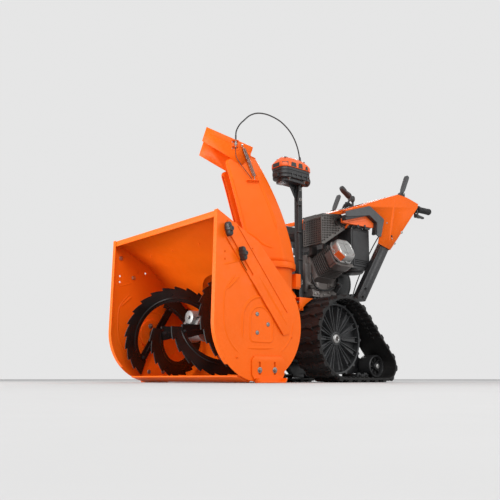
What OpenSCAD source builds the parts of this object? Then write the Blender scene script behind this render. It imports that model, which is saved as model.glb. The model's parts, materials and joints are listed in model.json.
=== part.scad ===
// Two-stage tracked snow blower. Millimetres, Z up.
// X points to the operator's left, Y points from the bucket back to the handles.
// The drawing frame has Y = 0 at the bucket's top front edge. place() moves the model
// so that its origin is on the ground, at the middle of its length and width.

/* [Bucket] */
// Width over the two side plates
bucket_w = 711; // [690:1:740]
// Height of the bucket's top front edge
bucket_h = 588; // [580:1:600]
// Outer radius of the round back and bottom of the side plates
shell_r = 203; // [202:0.5:204]
// Sheet thickness of plates, wrapper and housings
sheet = 3; // [2:0.5:4]
// Outer radius of the auger ribbons
auger_r = 186; // [178:1:188]

/* [Impeller and chute] */
// Inner radius of the impeller drum
drum_r = 178; // [176:1:180]
// Outer radius of the impeller blades
impeller_r = 172; // [165:1:174]
// Outer radius of the outlet neck
neck_r = 84; // [83:0.5:85]
// Angle of the chute from straight ahead, towards the right-hand side
chute_turn = 32.4; // [20:0.2:45]
// Half width of the chute over its side walls
chute_hw = 85; // [83:0.5:87]

/* [Tracks] */
// Inner edge of each track belt from the centre plane
track_in = 150; // [148:1:152]
// Outer edge of each track belt from the centre plane
track_out = 300; // [290:1:305]
// Outer radius of the belt round the drive wheel, without its lugs
track_r = 171; // [170:0.5:172]
// Thickness of the belt without its lugs
belt_t = 9; // [8:0.5:9]
// Height of the ground lugs
lug_h = 9; // [9:0.5:9]
// Number of spokes in a drive wheel
spokes = 14; // [10:1:16]

/* [Handles] */
// Distance of each handle panel's outer face from the centre plane
panel_x = 238; // [236:0.5:240]
// Radius of the rubber grips
grip_r = 15; // [13:0.5:16]

/* [Hidden] */

$fn = 64;
orange = "orangered";
black = [0.09, 0.09, 0.09];
steel = "silver";

// Distance from the drawing frame's Y = 0 to the middle of the machine's length
mid_y = 723.5;
// Clearance of a turning or sliding fit
fit = 0.05;

// Auger axis (along X) and impeller axis (along Y)
auger_y = 192;
auger_z = 206;
imp_z = 250;
// Corners of the bucket's sheet above the round part
fold_y = 188;
fold_z = 497;
plate_out = bucket_w / 2;
plate_in = plate_out - sheet;

// Impeller drum, from the wrapper to its back plate
drum_back = 580;
// Where its round part ends, and its half width behind that
drum_step = 541;
drum_flat = 147;
neck_x = 95;
neck_y = 490;
neck_top = 478;

// Chute heights: foot of the walls and top of the back wall
chute_z0 = 484;
chute_z1 = 948;
chamfer = 60;
hinge_s = 112;
hinge_z = 922;

// Crankshaft (along Y) and cylinder line
crank_z = 450;
cyl_y = 790;
cyl_tilt = 26.6;
// Distance of the cylinder's foot from the crankshaft
cyl_foot = 26;

// Track wheels
wheel_y = 726;
wheel_z = track_r + lug_h;
idler_y = 985;
idler_r = 50;
idler_belt_r = 60;
idler_z = idler_belt_r + lug_h;
axle_r = 12;
axle_tube_r = 24;

// Drift cutter line: it runs down and back along the side plate
cut_tilt = -50.7;
knob_a = [36, 519];
knob_b = [99, 442];
cut_travel = 85;
spare_holes = [[34, 443], [34, 418], [123, 467], [158, 467]];

// Clutch levers and steering triggers
lever_y = 1228;
lever_z = 897;
trigger_y = 1345;
trigger_z = 811;
lever_x = 220;

// Route of the deflector cable, from its guide tube on the deflector to the tower head
cable_points = [
    [88, 300, 1000.4], [88, 301, 1010], [88, 305, 1024], [89, 314, 1042], [89, 326, 1058],
    [89, 343, 1075],
    [90, 371, 1102], [91, 404, 1121], [92, 438, 1131], [93, 475, 1134], [94, 510, 1131],
    [95, 543, 1123], [95, 573, 1110], [95, 601, 1092], [95, 624, 1069], [95, 642, 1041],
    [95, 654, 1011], [95, 660, 981], [95, 662, 952]
];
cable_r = 3;

// ---- helpers -------------------------------------------------------------

module place() {
    translate([0, -mid_y, 0]) children();
}

// Draws a (Y, Z) outline and extrudes it along X from x0
module yz(x0, w) {
    translate([x0, 0, 0]) rotate([90, 0, 90]) linear_extrude(w) children();
}

// Draws an (X, Z) outline and extrudes it along Y from y0 to y0 + w
module xz(y0, w) {
    translate([0, y0 + w, 0]) rotate([90, 0, 0]) linear_extrude(w) children();
}

// Rod along X, from x0, at (y, z)
module xrod(x0, w, y, z, r, fn = 48) {
    translate([x0, y, z]) rotate([0, 90, 0]) cylinder(h = w, r = r, $fn = fn);
}

// Rod along Y, from y0, at (x, z)
module yrod(y0, w, x, z, r, fn = 64) {
    translate([x, y0 + w, z]) rotate([90, 0, 0]) cylinder(h = w, r = r, $fn = fn);
}

module both_sides() {
    children();
    mirror([1, 0, 0]) children();
}

// Moves a chute part, drawn with its mouth towards -Y, to the chute's axis and angle
module at_chute() {
    translate([neck_x, neck_y, 0]) rotate([0, 0, -chute_turn]) children();
}

// Draws a (forward, Z) outline and extrudes it across the chute from n0
module chute_side(n0, w) {
    translate([n0, 0, 0]) rotate([90, 0, 90]) mirror([1, 0, 0]) linear_extrude(w) children();
}

// ---- bucket --------------------------------------------------------------

// Side view of the bucket, moved inwards by a margin
module bucket_outline(inset) {
    r = shell_r - inset;
    c = cos(45);
    translate([auger_y, auger_z]) circle(r = r, $fn = 128);
    polygon([
        [auger_y - r, auger_z], [auger_y, auger_z - 100], [auger_y + r * c, auger_z + r * c],
        [fold_y - 0.4 * inset, fold_z - 1.1 * inset], [inset * 1.1, bucket_h - 1.15 * inset]
    ]);
}

// Region in front of the wrapper, which the mouth leaves open
module mouth_outline() {
    a = 246;
    polygon([
        [-100, 566], [24, 566], [150, auger_z],
        [auger_y + 180 * cos(a), auger_z + 180 * sin(a)],
        [auger_y + 240 * cos(a), auger_z + 240 * sin(a)], [-100, -100]
    ]);
}

module auger_housing() {
    w = 2 * plate_in - 0.2;
    color(orange) place() difference() {
        yz(-w / 2, w) difference() {
            bucket_outline(sheet);
            bucket_outline(2 * sheet);
            mouth_outline();
        }
        yrod(200, 260, 0, imp_z, drum_r, 96);
    }
}

module plate_holes() {
    for (p = [knob_a, knob_b]) xrod(340, 30, p[0], p[1], 4.05, 24);
    for (y = [186, 257]) xrod(340, 30, y, 44, 4.05, 24);
    for (p = [[179, 239], [230, 205], [179, 174]]) xrod(330, 40, p[0], p[1], 4.05, 24);
    // spare holes for the drift cutter's other positions
    for (p = spare_holes) xrod(345, 20, p[0], p[1], 4.05, 24);
}

module side_plate() {
    difference() {
        union() {
            yz(plate_in, sheet) bucket_outline(0);
            // front hem, folded inwards along the mouth
            yz(plate_in - 18, 18.1) intersection() {
                difference() {
                    bucket_outline(sheet + 0.1);
                    bucket_outline(2 * sheet + 0.1);
                }
                polygon([
                    [-60, 560], [25, 560], [60, auger_z], [auger_y - 90, auger_z - 160],
                    [-60, 0]
                ]);
            }
            // bearing carrier of the auger shaft
            xrod(plate_in - 16, 16.1, auger_y, auger_z, 60);
        }
        xrod(plate_in - 20, 20, auger_y, auger_z, 17 + fit);
        plate_holes();
    }
}

module side_plates() {
    color(orange) place() both_sides() side_plate();
}

module scraper_bar() {
    color(orange) place() difference() {
        translate([0, auger_y, auger_z]) rotate([-18, 0, 0])
            translate([-345, -34, -shell_r - 3]) cube([690, 60, 6]);
        translate([-400, 0, -20]) cube([800, 400, 20]);
        yz(-346, 692) bucket_outline(sheet - 0.2);
    }
}

// Skid shoe: plate bolted outside the side plate, with a sole turned outwards
module skid_shoe() {
    difference() {
        union() {
            yz(plate_out + 0.3, 5) polygon([
                [151, 80], [163, 92], [293, 92], [305, 80], [305, 30], [288, 0], [168, 0], [151, 30]
            ]);
            yz(plate_out + 0.3, 30) polygon([[168, 0], [288, 0], [296, 14], [291, 17], [284, 5],
                [172, 5], [165, 17], [160, 14]]);
        }
        for (y = [186, 257]) translate([plate_out - 5, y - 4.5, 28]) cube([30, 9, 44]);
    }
}

module skid_shoes() {
    color(orange) place() both_sides() skid_shoe();
}

// Carriage bolt along X, with its head inside the plate and a nut outside
module plate_bolt(y, z, x0, x1, nut = true) {
    xrod(x0 - 1, x1 - x0 + 1, y, z, 4, 24);
    xrod(x0 - 4, 4, y, z, 9, 32);
    if (nut) xrod(x1 - 7, 7, y, z, 7.5, 6);
}

module housing_bolts() {
    color(steel) place() both_sides() {
        for (y = [186, 257]) plate_bolt(y, 44, plate_in, plate_out + 13);
        for (p = [[179, 239], [230, 205], [179, 174]])
            plate_bolt(p[0], p[1], plate_in - 16, plate_out + 7.1);
    }
}

// ---- auger ---------------------------------------------------------------

module auger_shaft() {
    color(black) place() {
        xrod(-plate_in + 1, 2 * plate_in - 2, auger_y, auger_z, 17);
        // worm wheel inside the gear case
        difference() {
            xrod(-12, 24, auger_y, auger_z, 28);
            for (a = [0:15:345]) translate([0, auger_y, auger_z]) rotate([a, 0, 0])
                translate([-13, -1.5, 25]) cube([26, 3, 6]);
        }
        // collars that carry the ribbon arms
        for (x = [-322, -82, 56, 296]) xrod(x, 26, auger_y, auger_z, 23);
    }
}

// Points on one serrated helical ribbon: inner and outer edge, two faces
function ribbon_ring(x, a, r0, r1, t) = [
    for (p = [[r0, -t], [r1, -t], [r1, t], [r0, t]])
        [x + p[1], auger_y + p[0] * cos(a), auger_z + p[0] * sin(a)]
];

module ribbon(x0, x1, a0, a1, r0, r1) {
    n = 44;
    pts = [for (i = [0:n]) each ribbon_ring(
        x0 + (x1 - x0) * i / n, a0 + (a1 - a0) * i / n, r0, i % 4 == 0 ? r1 : r1 - 3 * (i % 4), 3)];
    sides = [for (i = [0:n - 1], k = [0:3])
        [4 * i + k, 4 * i + (k + 1) % 4, 4 * i + 4 + (k + 1) % 4, 4 * i + 4 + k]];
    quads = concat([[3, 2, 1, 0]], sides, [[4 * n, 4 * n + 1, 4 * n + 2, 4 * n + 3]]);
    polyhedron(pts, quads);
}

// Flat arm from a collar to the ribbon's inner edge
module flight_arm(x, a, r) {
    translate([x, auger_y, auger_z]) rotate([a, 0, 0]) translate([-4, 23.4, -14]) cube([8, r - 23.4, 28]);
}

// Ribbon radii: outer edge and inner edge
ribbon_in = 122;

module flight(s) {
    color(black) for (h = [0, 180]) {
        ribbon(s * 62, s * 322, h, h + 250, ribbon_in, auger_r);
        flight_arm(s * 69, h + 8, ribbon_in + 8);
        flight_arm(s * 309, h + 238, ribbon_in + 8);
    }
}

module auger_flights() {
    color(black) place() {
        flight(1);
        flight(-1);
    }
}

module shear_bolts() {
    color(steel) place() for (x = [-95, 95]) translate([x, auger_y, auger_z]) {
        difference() {
            union() {
                translate([0, 0, 17.1]) cylinder(h = 5, r = 6.5, $fn = 6);
                translate([0, 0, -23.1]) cylinder(h = 6, r = 6.5, $fn = 6);
            }
            cylinder(h = 80, r = 2, center = true, $fn = 24);
        }
        difference() {
            rotate([0, 90, 0]) cylinder(h = 24, r = 21, center = true, $fn = 48);
            rotate([0, 90, 0]) cylinder(h = 26, r = 17, center = true, $fn = 48);
            cylinder(h = 80, r = 9, center = true, $fn = 24);
        }
    }
}

module gear_case() {
    color(steel) place() difference() {
        union() {
            xrod(-44, 88, auger_y, auger_z, 45);
            for (x = [-48, 32]) xrod(x, 16, auger_y, auger_z, 50);
            yrod(140, 195, 0, imp_z, 27);
            yrod(320, 15, 0, imp_z, 34);
        }
        xrod(-15, 30, auger_y, auger_z, 32);
        xrod(-60, 120, auger_y, auger_z, 17 + fit);
        yrod(150, 90, 0, imp_z, 17);
        yrod(150, 200, 0, imp_z, 12.5 + fit);
    }
}

// ---- impeller and its housing ----------------------------------------------

module impeller() {
    color(black) place() difference() {
        union() {
            yrod(453, 92, 0, imp_z, 28);
            yrod(535, 4, 0, imp_z, 120);
            for (a = [45:90:315]) translate([0, 0, imp_z]) rotate([0, a, 0]) {
                translate([20, 455, -3]) cube([impeller_r - 22, 82, 6]);
                translate([impeller_r - 16, 455, -3]) cube([14, 82, 18]);
            }
        }
        yrod(440, 130, 0, imp_z, 12.5);
    }
}

module impeller_shaft() {
    color(steel) place() {
        yrod(151, 479, 0, imp_z, 12.5);
        // worm
        for (y = [166:8:222]) yrod(y, 5, 0, imp_z, 15.5);
        // pulley
        difference() {
            yrod(602, 22, 0, imp_z, 92);
            translate([0, 613, imp_z]) rotate([90, 0, 0]) rotate_extrude($fn = 96)
                polygon([[80, -4], [94, -8], [94, 8], [80, 4]]);
        }
    }
}

// Drum from y0 to y1, cut flat at both sides behind step, where it passes between the tracks
module drum(y0, r, half_w, step, y1) {
    yrod(y0, step - y0, 0, imp_z, r, 96);
    intersection() {
        yrod(step - 1, y1 - step + 1, 0, imp_z, r, 96);
        translate([-half_w, step - 1, 0]) cube([2 * half_w, y1 - step + 1, 500]);
    }
}

module impeller_housing() {
    color(orange) place() {
        difference() {
            union() {
                drum(240, drum_r + sheet, drum_flat, drum_step, drum_back);
                translate([neck_x, neck_y, imp_z]) cylinder(h = neck_top - imp_z, r = neck_r, $fn = 96);
                translate([neck_x, neck_y, 460]) cylinder(h = 5, r = neck_r + 15, $fn = 96);
            }
            yz(-360, 720) bucket_outline(sheet - 0.3);
            drum(200, drum_r, drum_flat - sheet, drum_step - sheet, drum_back - sheet);
            translate([neck_x, neck_y, imp_z]) cylinder(h = 300, r = neck_r - sheet, $fn = 96);
            yrod(500, 100, 0, imp_z, 12.5 + fit);
        }
        // shaft bearing on the back plate
        difference() {
            yrod(drum_back - 0.1, 12, 0, imp_z, 34);
            yrod(500, 100, 0, imp_z, 12.5 + fit);
        }
        // side flanges that carry the chassis
        both_sides() {
            difference() {
                yz(141, sheet) polygon([[540, 130], [644, 130], [644, 346], [540, 346]]);
                yrod(200, drum_back - 200, 0, imp_z, drum_r + 1, 96);
            }
            yz(141, 46) polygon([[560, 346], [638, 346], [635, 343], [560, 343]]);
            yz(184, sheet) polygon([[560, 346], [638, 346], [596, 320], [574, 300], [560, 292]]);
            difference() {
                xz(576.8, sheet) polygon([
                    [120, 130], [144, 130], [144, 292], [187, 292], [187, 346], [90, 346]
                ]);
                drum(500, drum_r + 1, drum_flat - 2, drum_step, 600);
            }
        }
        // bracket of the tower post
        translate([neck_x, neck_y + neck_r - 2.5, 392]) cube([60, sheet, 56]);
        translate([neck_x + 57, neck_y + neck_r - 2.5, 392]) cube([sheet, 28, 56]);
        translate([neck_x + 13.6, neck_y + neck_r - 2.5, 392]) cube([sheet, 66, 56]);
    }
}

// ---- chassis and drive -----------------------------------------------------

module chassis() {
    color(black) place() {
        difference() {
            translate([-140, 637, 95]) cube([280, 343, 255]);
            translate([-137, 640, 90]) cube([274, 337, 257]);
            xrod(-200, 400, wheel_y, wheel_z, axle_r + fit);
        }
        both_sides() difference() {
            xrod(110, 59, wheel_y, wheel_z, axle_tube_r);
            xrod(100, 80, wheel_y, wheel_z, axle_r + fit);
        }
        // differential case between the axle tubes
        difference() {
            xrod(-110.1, 220.2, wheel_y, wheel_z, 62);
            xrod(-100, 200, wheel_y, wheel_z, 54);
            xrod(-200, 400, wheel_y, wheel_z, axle_r + fit);
        }
    }
}

module belt_cover() {
    color(black) place() difference() {
        xz(596, 38) union() {
            translate([0, imp_z]) circle(r = 108, $fn = 96);
            translate([0, crank_z]) circle(r = 68, $fn = 96);
            polygon([[-106, imp_z + 20], [106, imp_z + 20], [66, crank_z + 10], [-66, crank_z + 10]]);
        }
        xz(598, 34) union() {
            translate([0, imp_z]) circle(r = 106, $fn = 96);
            translate([0, crank_z]) circle(r = 66, $fn = 96);
            polygon([[-104, imp_z + 20], [104, imp_z + 20], [64, crank_z + 10], [-64, crank_z + 10]]);
        }
        yrod(590, 60, 0, imp_z, 13.5);
        yrod(590, 60, 0, crank_z, 13.5);
    }
}

// Band round the two pulleys
module belt_ring(r1, r2, w) {
    h = crank_z - imp_z;
    a = asin((r1 - r2) / h);
    xz(613 - w / 2, w) {
        translate([0, imp_z]) circle(r = r1, $fn = 96);
        translate([0, crank_z]) circle(r = r2, $fn = 96);
        polygon([
            [r1 * cos(a), imp_z + r1 * sin(a)], [r2 * cos(a), crank_z + r2 * sin(a)],
            [-r2 * cos(a), crank_z + r2 * sin(a)], [-r1 * cos(a), imp_z + r1 * sin(a)]
        ]);
    }
}

module drive_belt() {
    color(black) place() difference() {
        belt_ring(94.5, 44.5, 8);
        belt_ring(93, 43, 20);
    }
}

module engine_pulley() {
    color(steel) place() {
        yrod(598, 107, 0, crank_z, 12.5);
        difference() {
            yrod(602, 22, 0, crank_z, 42);
            translate([0, 613, crank_z]) rotate([90, 0, 0]) rotate_extrude($fn = 96)
                polygon([[30, -4], [44, -8], [44, 8], [30, 4]]);
        }
    }
}

// ---- engine ----------------------------------------------------------------

module at_cylinder() {
    translate([0, cyl_y, crank_z]) rotate([0, -cyl_tilt, 0]) translate([cyl_foot, 0, 0]) children();
}

module engine_block() {
    color([0.3, 0.3, 0.3]) place() difference() {
        union() {
            translate([-85, 700, 388]) cube([170, 200, 130]);
            translate([-100, 706, 351]) cube([200, 140, 40]);
            yrod(690, 12, 0, crank_z, 45);
            at_cylinder() translate([14, -60, -55]) cube([78, 120, 110]);
            translate([-70, 720, 510]) cube([140, 170, 50]);
        }
        yrod(680, 26, 0, crank_z, 12.5 + fit);
        at_cylinder() translate([92.3, -70, -64]) cube([140, 140, 130]);
    }
}

module cylinder_fins() {
    color([0.35, 0.35, 0.35]) place() at_cylinder() {
        translate([92.5, -40, -38]) cube([112, 80, 76]);
        for (x = [98:11:197]) translate([x, -60, -58]) cube([4, 124, 106]);
        // spark plug
        translate([190, 39.9, 0]) rotate([-90, 0, 0]) cylinder(h = 32, r = 9, $fn = 24);
    }
}

module valve_cover() {
    color(steel) place() at_cylinder() difference() {
        translate([206, 0, 0]) rotate([90, 0, 90]) linear_extrude(44) polygon([
            [-54, -30], [-34, -54], [34, -54], [54, -30], [54, 30], [34, 54], [-34, 54], [-54, 30]
        ]);
        translate([244, 0, 0]) rotate([90, 0, 90]) linear_extrude(20) polygon([
            [-44, -24], [-28, -44], [28, -44], [44, -24], [44, 24], [28, 44], [-28, 44], [-44, 24]
        ]);
    }
}

module muffler() {
    color([0.25, 0.25, 0.25]) place() {
        yz(84, 92) polygon([
            [704, 600], [704, 702], [714, 716], [820, 730], [842, 724], [842, 680], [722, 606]
        ]);
        // exhaust pipe down to the cylinder
        difference() {
            translate([84, 722, 530]) cube([20, 36, 86]);
            at_cylinder() translate([70, -70, -70]) cube([160, 140, 118.3]);
        }
    }
}

// Sheet guard over the muffler, with rows of slots
module muffler_guard() {
    color(black) place() difference() {
        yz(76, 110) polygon([
            [696, 590], [696, 706], [708, 724], [822, 737.5], [850, 730], [850, 672], [716, 590]
        ]);
        yz(72, 111) polygon([
            [712, 580], [699, 580], [699, 705], [710, 721.5], [821, 734.5], [847, 728], [847, 673.8],
            [714, 592.4]
        ]);
        translate([82, 718, 560]) cube([24, 44, 80]);
        for (y = [716:28:800]) translate([175, y, 688]) cube([30, 14, 22]);
        for (y = [716:28:772]) translate([175, y, 654]) cube([30, 14, 20]);
        for (y = [708, 736]) translate([175, y, 618]) cube([30, 14, 20]);
        for (x = [84:24:156], z = [620, 660]) translate([x, 690, z]) cube([12, 12, 24]);
    }
}

module blower_housing() {
    color(black) place() difference() {
        union() {
            yrod(901, 88, 0, crank_z, 97);
            yrod(988, 22, 0, crank_z, 78);
            translate([-75, 901, 500]) cube([150, 80, 90]);
        }
        yrod(905, 78, 0, crank_z, 90);
        translate([-71, 905, 495]) cube([142, 72, 91]);
        for (a = [0:30:330]) translate([0, 0, crank_z]) rotate([0, a, 0])
            translate([40, 1004, -4]) cube([28, 10, 8]);
        yrod(1006, 10, 0, crank_z, 20);
    }
    // bracket and pin of the throttle lever
    color(black) place() {
        yz(74.9, 8.8) polygon([[950, 545], [981, 545], [996, 552], [996, 568], [981, 575], [950, 575]]);
        xrod(83, 11, 990, 560, 4);
    }
}

module fuel_tank() {
    color(black) place() difference() {
        union() {
            translate([-150, 846, 604]) cube([214, 150, 86]);
            // front lobe over the crankcase
            translate([-150, 700, 640]) cube([105, 150, 72]);
        }
        translate([-146, 850, 608]) cube([206, 142, 78]);
        translate([-146, 704, 644]) cube([97, 142, 64]);
        translate([-146, 840, 644]) cube([97, 12, 42]);
        translate([-80, 930, 680]) cylinder(h = 20, r = 18, $fn = 48);
    }
    color(black) place() difference() {
        translate([-80, 930, 689.9]) cylinder(h = 12, r = 21, $fn = 48);
        translate([-80, 930, 680]) cylinder(h = 30, r = 18, $fn = 48);
    }
}

module fuel_cap() {
    color(black) place() difference() {
        union() {
            translate([-80, 930, 702.3]) cylinder(h = 16, r = 28, $fn = 48);
            translate([-80, 930, 690]) cylinder(h = 13, r = 17.9, $fn = 48);
        }
        for (a = [0:30:330]) translate([-80, 930, 700]) rotate([0, 0, a])
            translate([28, 0, 0]) cylinder(h = 30, r = 3, $fn = 24);
    }
}

module heater_box() {
    color(black) place() {
        translate([120, 875, 500]) cube([83, 126, 188]);
        // air horn below the box
        translate([150, 936, 484]) cylinder(h = 17, r = 52, $fn = 64);
    }
}

// Upper engine cover with its D-shaped frame
module engine_cowl() {
    color(orange) place() {
        difference() {
            yz(206, 20) polygon([
                [800, 690], [800, 712], [960, 764], [1020, 738], [1004, 696]
            ]);
            yz(200, 20) polygon([
                [806, 694], [806, 708], [960, 758], [1014, 735], [1000, 700]
            ]);
        }
    }
    color(black) place() yz(226.1, 8) polygon([
        [796, 700], [796, 722], [958, 775], [1046, 734], [1016, 664], [1000, 664], [1010, 720], [955, 745]
    ]);
}

module throttle_lever() {
    color(black) place() difference() {
        union() {
            xrod(84, 8, 990, 560, 10);
            translate([84.5, 990, 560]) rotate([-45, 0, 0]) translate([0, -4, 0]) cube([7, 8, 56]);
            xrod(80, 16, 1030, 600, 8);
        }
        xrod(70, 40, 990, 560, 4 + fit);
    }
}

module recoil_handle() {
    color(black) place() {
        yrod(1012, 20, 0, crank_z, 9);
        translate([-42, 1031, crank_z - 10]) cube([84, 18, 20]);
    }
}

// ---- dash and handles --------------------------------------------------------

module panel_outline() {
    polygon([
        [800, 735], [800, 745], [910, 785], [1178, 884], [1249, 882], [1340, 866], [1334, 845],
        [1107, 606], [1018, 625], [1052, 737], [958, 780]
    ]);
}

// Folded side panel with a flange turned in along its top and its back
module handle_panel() {
    difference() {
        union() {
            yz(panel_x - sheet, sheet) panel_outline();
            yz(panel_x - 40, 40) polygon([
                [1178, 884], [1249, 882], [1340, 866], [1339, 863], [1249, 879], [1178, 881],
                [910, 782], [800, 742], [800, 745], [910, 785]
            ]);
            yz(panel_x - 40, 40) polygon([
                [1340, 866], [1334, 845], [1107, 606], [1104, 609], [1331, 847], [1337, 866]
            ]);
        }
        xrod(panel_x - 50, 60, 1200, 800, 5, 24);
        translate([220, 1290, 842]) rotate([-88, 0, 0]) cylinder(h = 80, r = 9.4, $fn = 32);
    }
    // ears and pin of the clutch lever
    for (x = [lever_x - 12.5, lever_x + 9.5]) yz(x, 3) polygon([
        [lever_y - 12, 882], [lever_y - 12, lever_z + 4], [lever_y, lever_z + 9],
        [lever_y + 12, lever_z + 4], [lever_y + 12, 882]
    ]);
    xrod(lever_x - 12, 24, lever_y, lever_z, 4);
}

module handle_panels() {
    color(orange) place() both_sides() handle_panel();
}

module dash_panel() {
    w = 2 * (panel_x - 40.2);
    color(orange) place() {
        difference() {
            yz(-w / 2, w) polygon([
                [826, 740], [826, 757], [1178, 884], [1249, 882], [1249, 879], [1178, 881], [829, 754],
                [829, 740]
            ]);
            translate([0, 1090, 845]) cylinder(h = 60, r = 18, center = true, $fn = 48);
            translate([144, 905, 740]) cube([12, 90, 120]);
        }
        // ears and pin of the speed lever
        for (x = [134.7, 162.3]) yz(x, sheet) polygon([[932, 796], [932, 758], [968, 758], [968, 808]]);
        xrod(135, 30, 950, 770, 4);
    }
}

// Black tube from the panel down to the cross member on the chassis
module handle_tube() {
    yz(205, 28) polygon([
        [1100, 700], [1147, 673], [924, 352], [872, 352], [872, 374]
    ]);
}

// Bar that carries a grip, inside the panel's rear corner
module grip_bar() {
    translate([220, 1290, 842]) rotate([-88, 0, 0]) cylinder(h = 166, r = 9, $fn = 32);
    translate([210, 1220, 822]) cube([24, 75, 34]);
    // ears and pin of the steering trigger
    for (x = [lever_x - 9.3, lever_x + 6.3]) yz(x, sheet) polygon([
        [1338, 802], [1352, 802], [1352, 842], [1338, 842]
    ]);
    xrod(lever_x - 9, 18, trigger_y, trigger_z, 3);
}

module handle_tubes() {
    color(black) place() {
        both_sides() {
            handle_tube();
            grip_bar();
        }
        translate([-205.1, 862, 351]) cube([410.2, 34, 32]);
    }
}

module handle_grips() {
    color(black) place() both_sides() translate([220, 1290, 842]) rotate([-88, 0, 0]) difference() {
        translate([0, 0, 66]) cylinder(h = 102, r = grip_r, $fn = 48);
        translate([0, 0, 50]) cylinder(h = 116.1, r = 9.1, $fn = 32);
    }
}

// Upright paddle lever, hinged at the top of a handle panel
module clutch_lever(s) {
    color(black) place() difference() {
        union() {
            translate([s * lever_x, lever_y, lever_z]) rotate([-27, 0, 0]) {
                translate([-8, -9, 0]) cube([16, 18, 20]);
                translate([-11, -9, 16]) cube([22, 18, 96]);
            }
            xrod(s * lever_x - 9, 18, lever_y, lever_z, 11);
        }
        xrod(s * lever_x - 20, 40, lever_y, lever_z, 4 + fit, 24);
    }
}

module steering_trigger(s) {
    color(black) place() difference() {
        union() {
            yz(s * lever_x - 6, 12) polygon([
                [trigger_y, 819], [1402, 811], [1402, 803], [trigger_y, 803]
            ]);
            xrod(s * lever_x - 6, 12, trigger_y, trigger_z, 9);
        }
        xrod(s * lever_x - 20, 40, trigger_y, trigger_z, 3 + fit, 24);
    }
}

module joystick() {
    color(black) place() {
        translate([0, 1090, 862]) sphere(r = 17, $fn = 48);
        yrod(1068, 32, 0, 862, 4);
        translate([0, 1090, 862]) rotate([-24, 0, 0]) cylinder(h = 46, r = 5, $fn = 24);
        hull() {
            translate([0, 1112, 900]) sphere(r = 14, $fn = 32);
            translate([0, 1078, 920]) sphere(r = 15, $fn = 32);
        }
        hull() {
            translate([0, 1078, 920]) sphere(r = 15, $fn = 32);
            translate([0, 1048, 944]) sphere(r = 12, $fn = 32);
        }
    }
}

module speed_lever() {
    color(black) place() {
        difference() {
            union() {
                xrod(138, 24, 950, 770, 11);
                translate([147, 946, 770]) cube([6, 8, 58]);
            }
            xrod(130, 40, 950, 770, 4 + fit);
        }
        translate([150, 950, 826]) cylinder(h = 26, r = 11, $fn = 32);
    }
}

// ---- tower -------------------------------------------------------------------

post_y = 650;

module tower_post() {
    color(black) place() {
        difference() {
            translate([neck_x - 12.5, post_y - 12.5, 352]) cube([25, 25, 500]);
            translate([neck_x - 10, post_y - 10, 350]) cube([20, 20, 504]);
        }
        yz(neck_x - 2, 4) polygon([[600, 852], [638, 852], [638, 790]]);
        translate([neck_x - 30, post_y - 12.5, 350.5]) cube([60, 45, 4]);
    }
}

// Plan view of the head, narrower at its nose
module head_plan(m) {
    polygon([
        [neck_x - 28 + m, 520 + m], [neck_x + 28 - m, 520 + m], [neck_x + 50 - m, 546 + m],
        [neck_x + 50 - m, 668 - m], [neck_x + 34 - m, 690 - m], [neck_x - 34 + m, 690 - m],
        [neck_x - 50 + m, 668 - m], [neck_x - 50 + m, 546 + m]
    ]);
}

module tower_head() {
    color(black) place() difference() {
        union() {
            translate([0, 0, 864]) linear_extrude(46) head_plan(0);
            translate([0, 0, 852.1]) linear_extrude(12) head_plan(14);
            translate([neck_x, 696, 880]) rotate([-90, 0, 0]) cylinder(h = 14, r = 22, $fn = 48);
        }
        translate([0, 0, 880]) linear_extrude(32) head_plan(6);
    }
}

module tower_cover() {
    color(orange) place() difference() {
        union() {
            translate([0, 0, 910.2]) linear_extrude(26) head_plan(-2);
            translate([0, 0, 936.1]) linear_extrude(18) head_plan(10);
            translate([0, 0, 954]) linear_extrude(10) head_plan(24);
        }
        translate([0, 0, 908]) linear_extrude(42) head_plan(13);
        translate([neck_x, 662, 930]) cylinder(h = 60, r = 5, $fn = 24);
    }
}

module headlamp() {
    color("white") place() {
        translate([neck_x - 20, 534, 846]) cube([40, 30, 5.9]);
        translate([neck_x - 16, 531, 842]) cube([32, 34, 4.1]);
    }
}

// ---- chute ---------------------------------------------------------------------

// Distance of the back wall ahead of the chute's axis at height z
function back_s(z) = let (t = (z - 475) / 475) -95 + 63 * t + 117 * t * t;
function front_s(z) = 100 + 0.263 * (z - 490);
back_zs = [for (i = [0:10]) chute_z0 + (chute_z1 - chute_z0) * i / 10];

// Side outline of the chute; m moves the back inwards and k scales it across a chamfer
module chute_outline(m, shift, k, lo, hi) {
    polygon(concat(
        [for (z = back_zs) [(back_s(z) + m + shift) * k, z == chute_z0 ? lo : z]],
        [[(back_s(chute_z1) + m + shift + hi) * k, chute_z1 + hi], [700 * k, chute_z1 + hi], [700 * k, lo]]
    ));
}

// Solid bounded by the back wall, the chamfers and the side walls
module chute_core(m, lo, hi) {
    hw = chute_hw - m;
    k = 1 / sqrt(2);
    flat = chute_hw - chamfer;
    intersection() {
        chute_side(-hw, 2 * hw) chute_outline(m, 0, 1, lo, hi);
        rotate([0, 0, 45]) chute_side(-900, 1800) chute_outline(m * sqrt(2), -flat, k, lo, hi);
        rotate([0, 0, -45]) chute_side(-900, 1800) chute_outline(m * sqrt(2), -flat, k, lo, hi);
    }
}

// What the open front and the sloping top leave of the chute
module chute_limits() {
    chute_side(-200, 400) polygon([
        [-150, chute_z0], [100, chute_z0], [front_s(600), 600], [205, 886], [198, 898], [190, 901],
        [118, 936], [84, 947], [-150, 946]
    ]);
}

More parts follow.
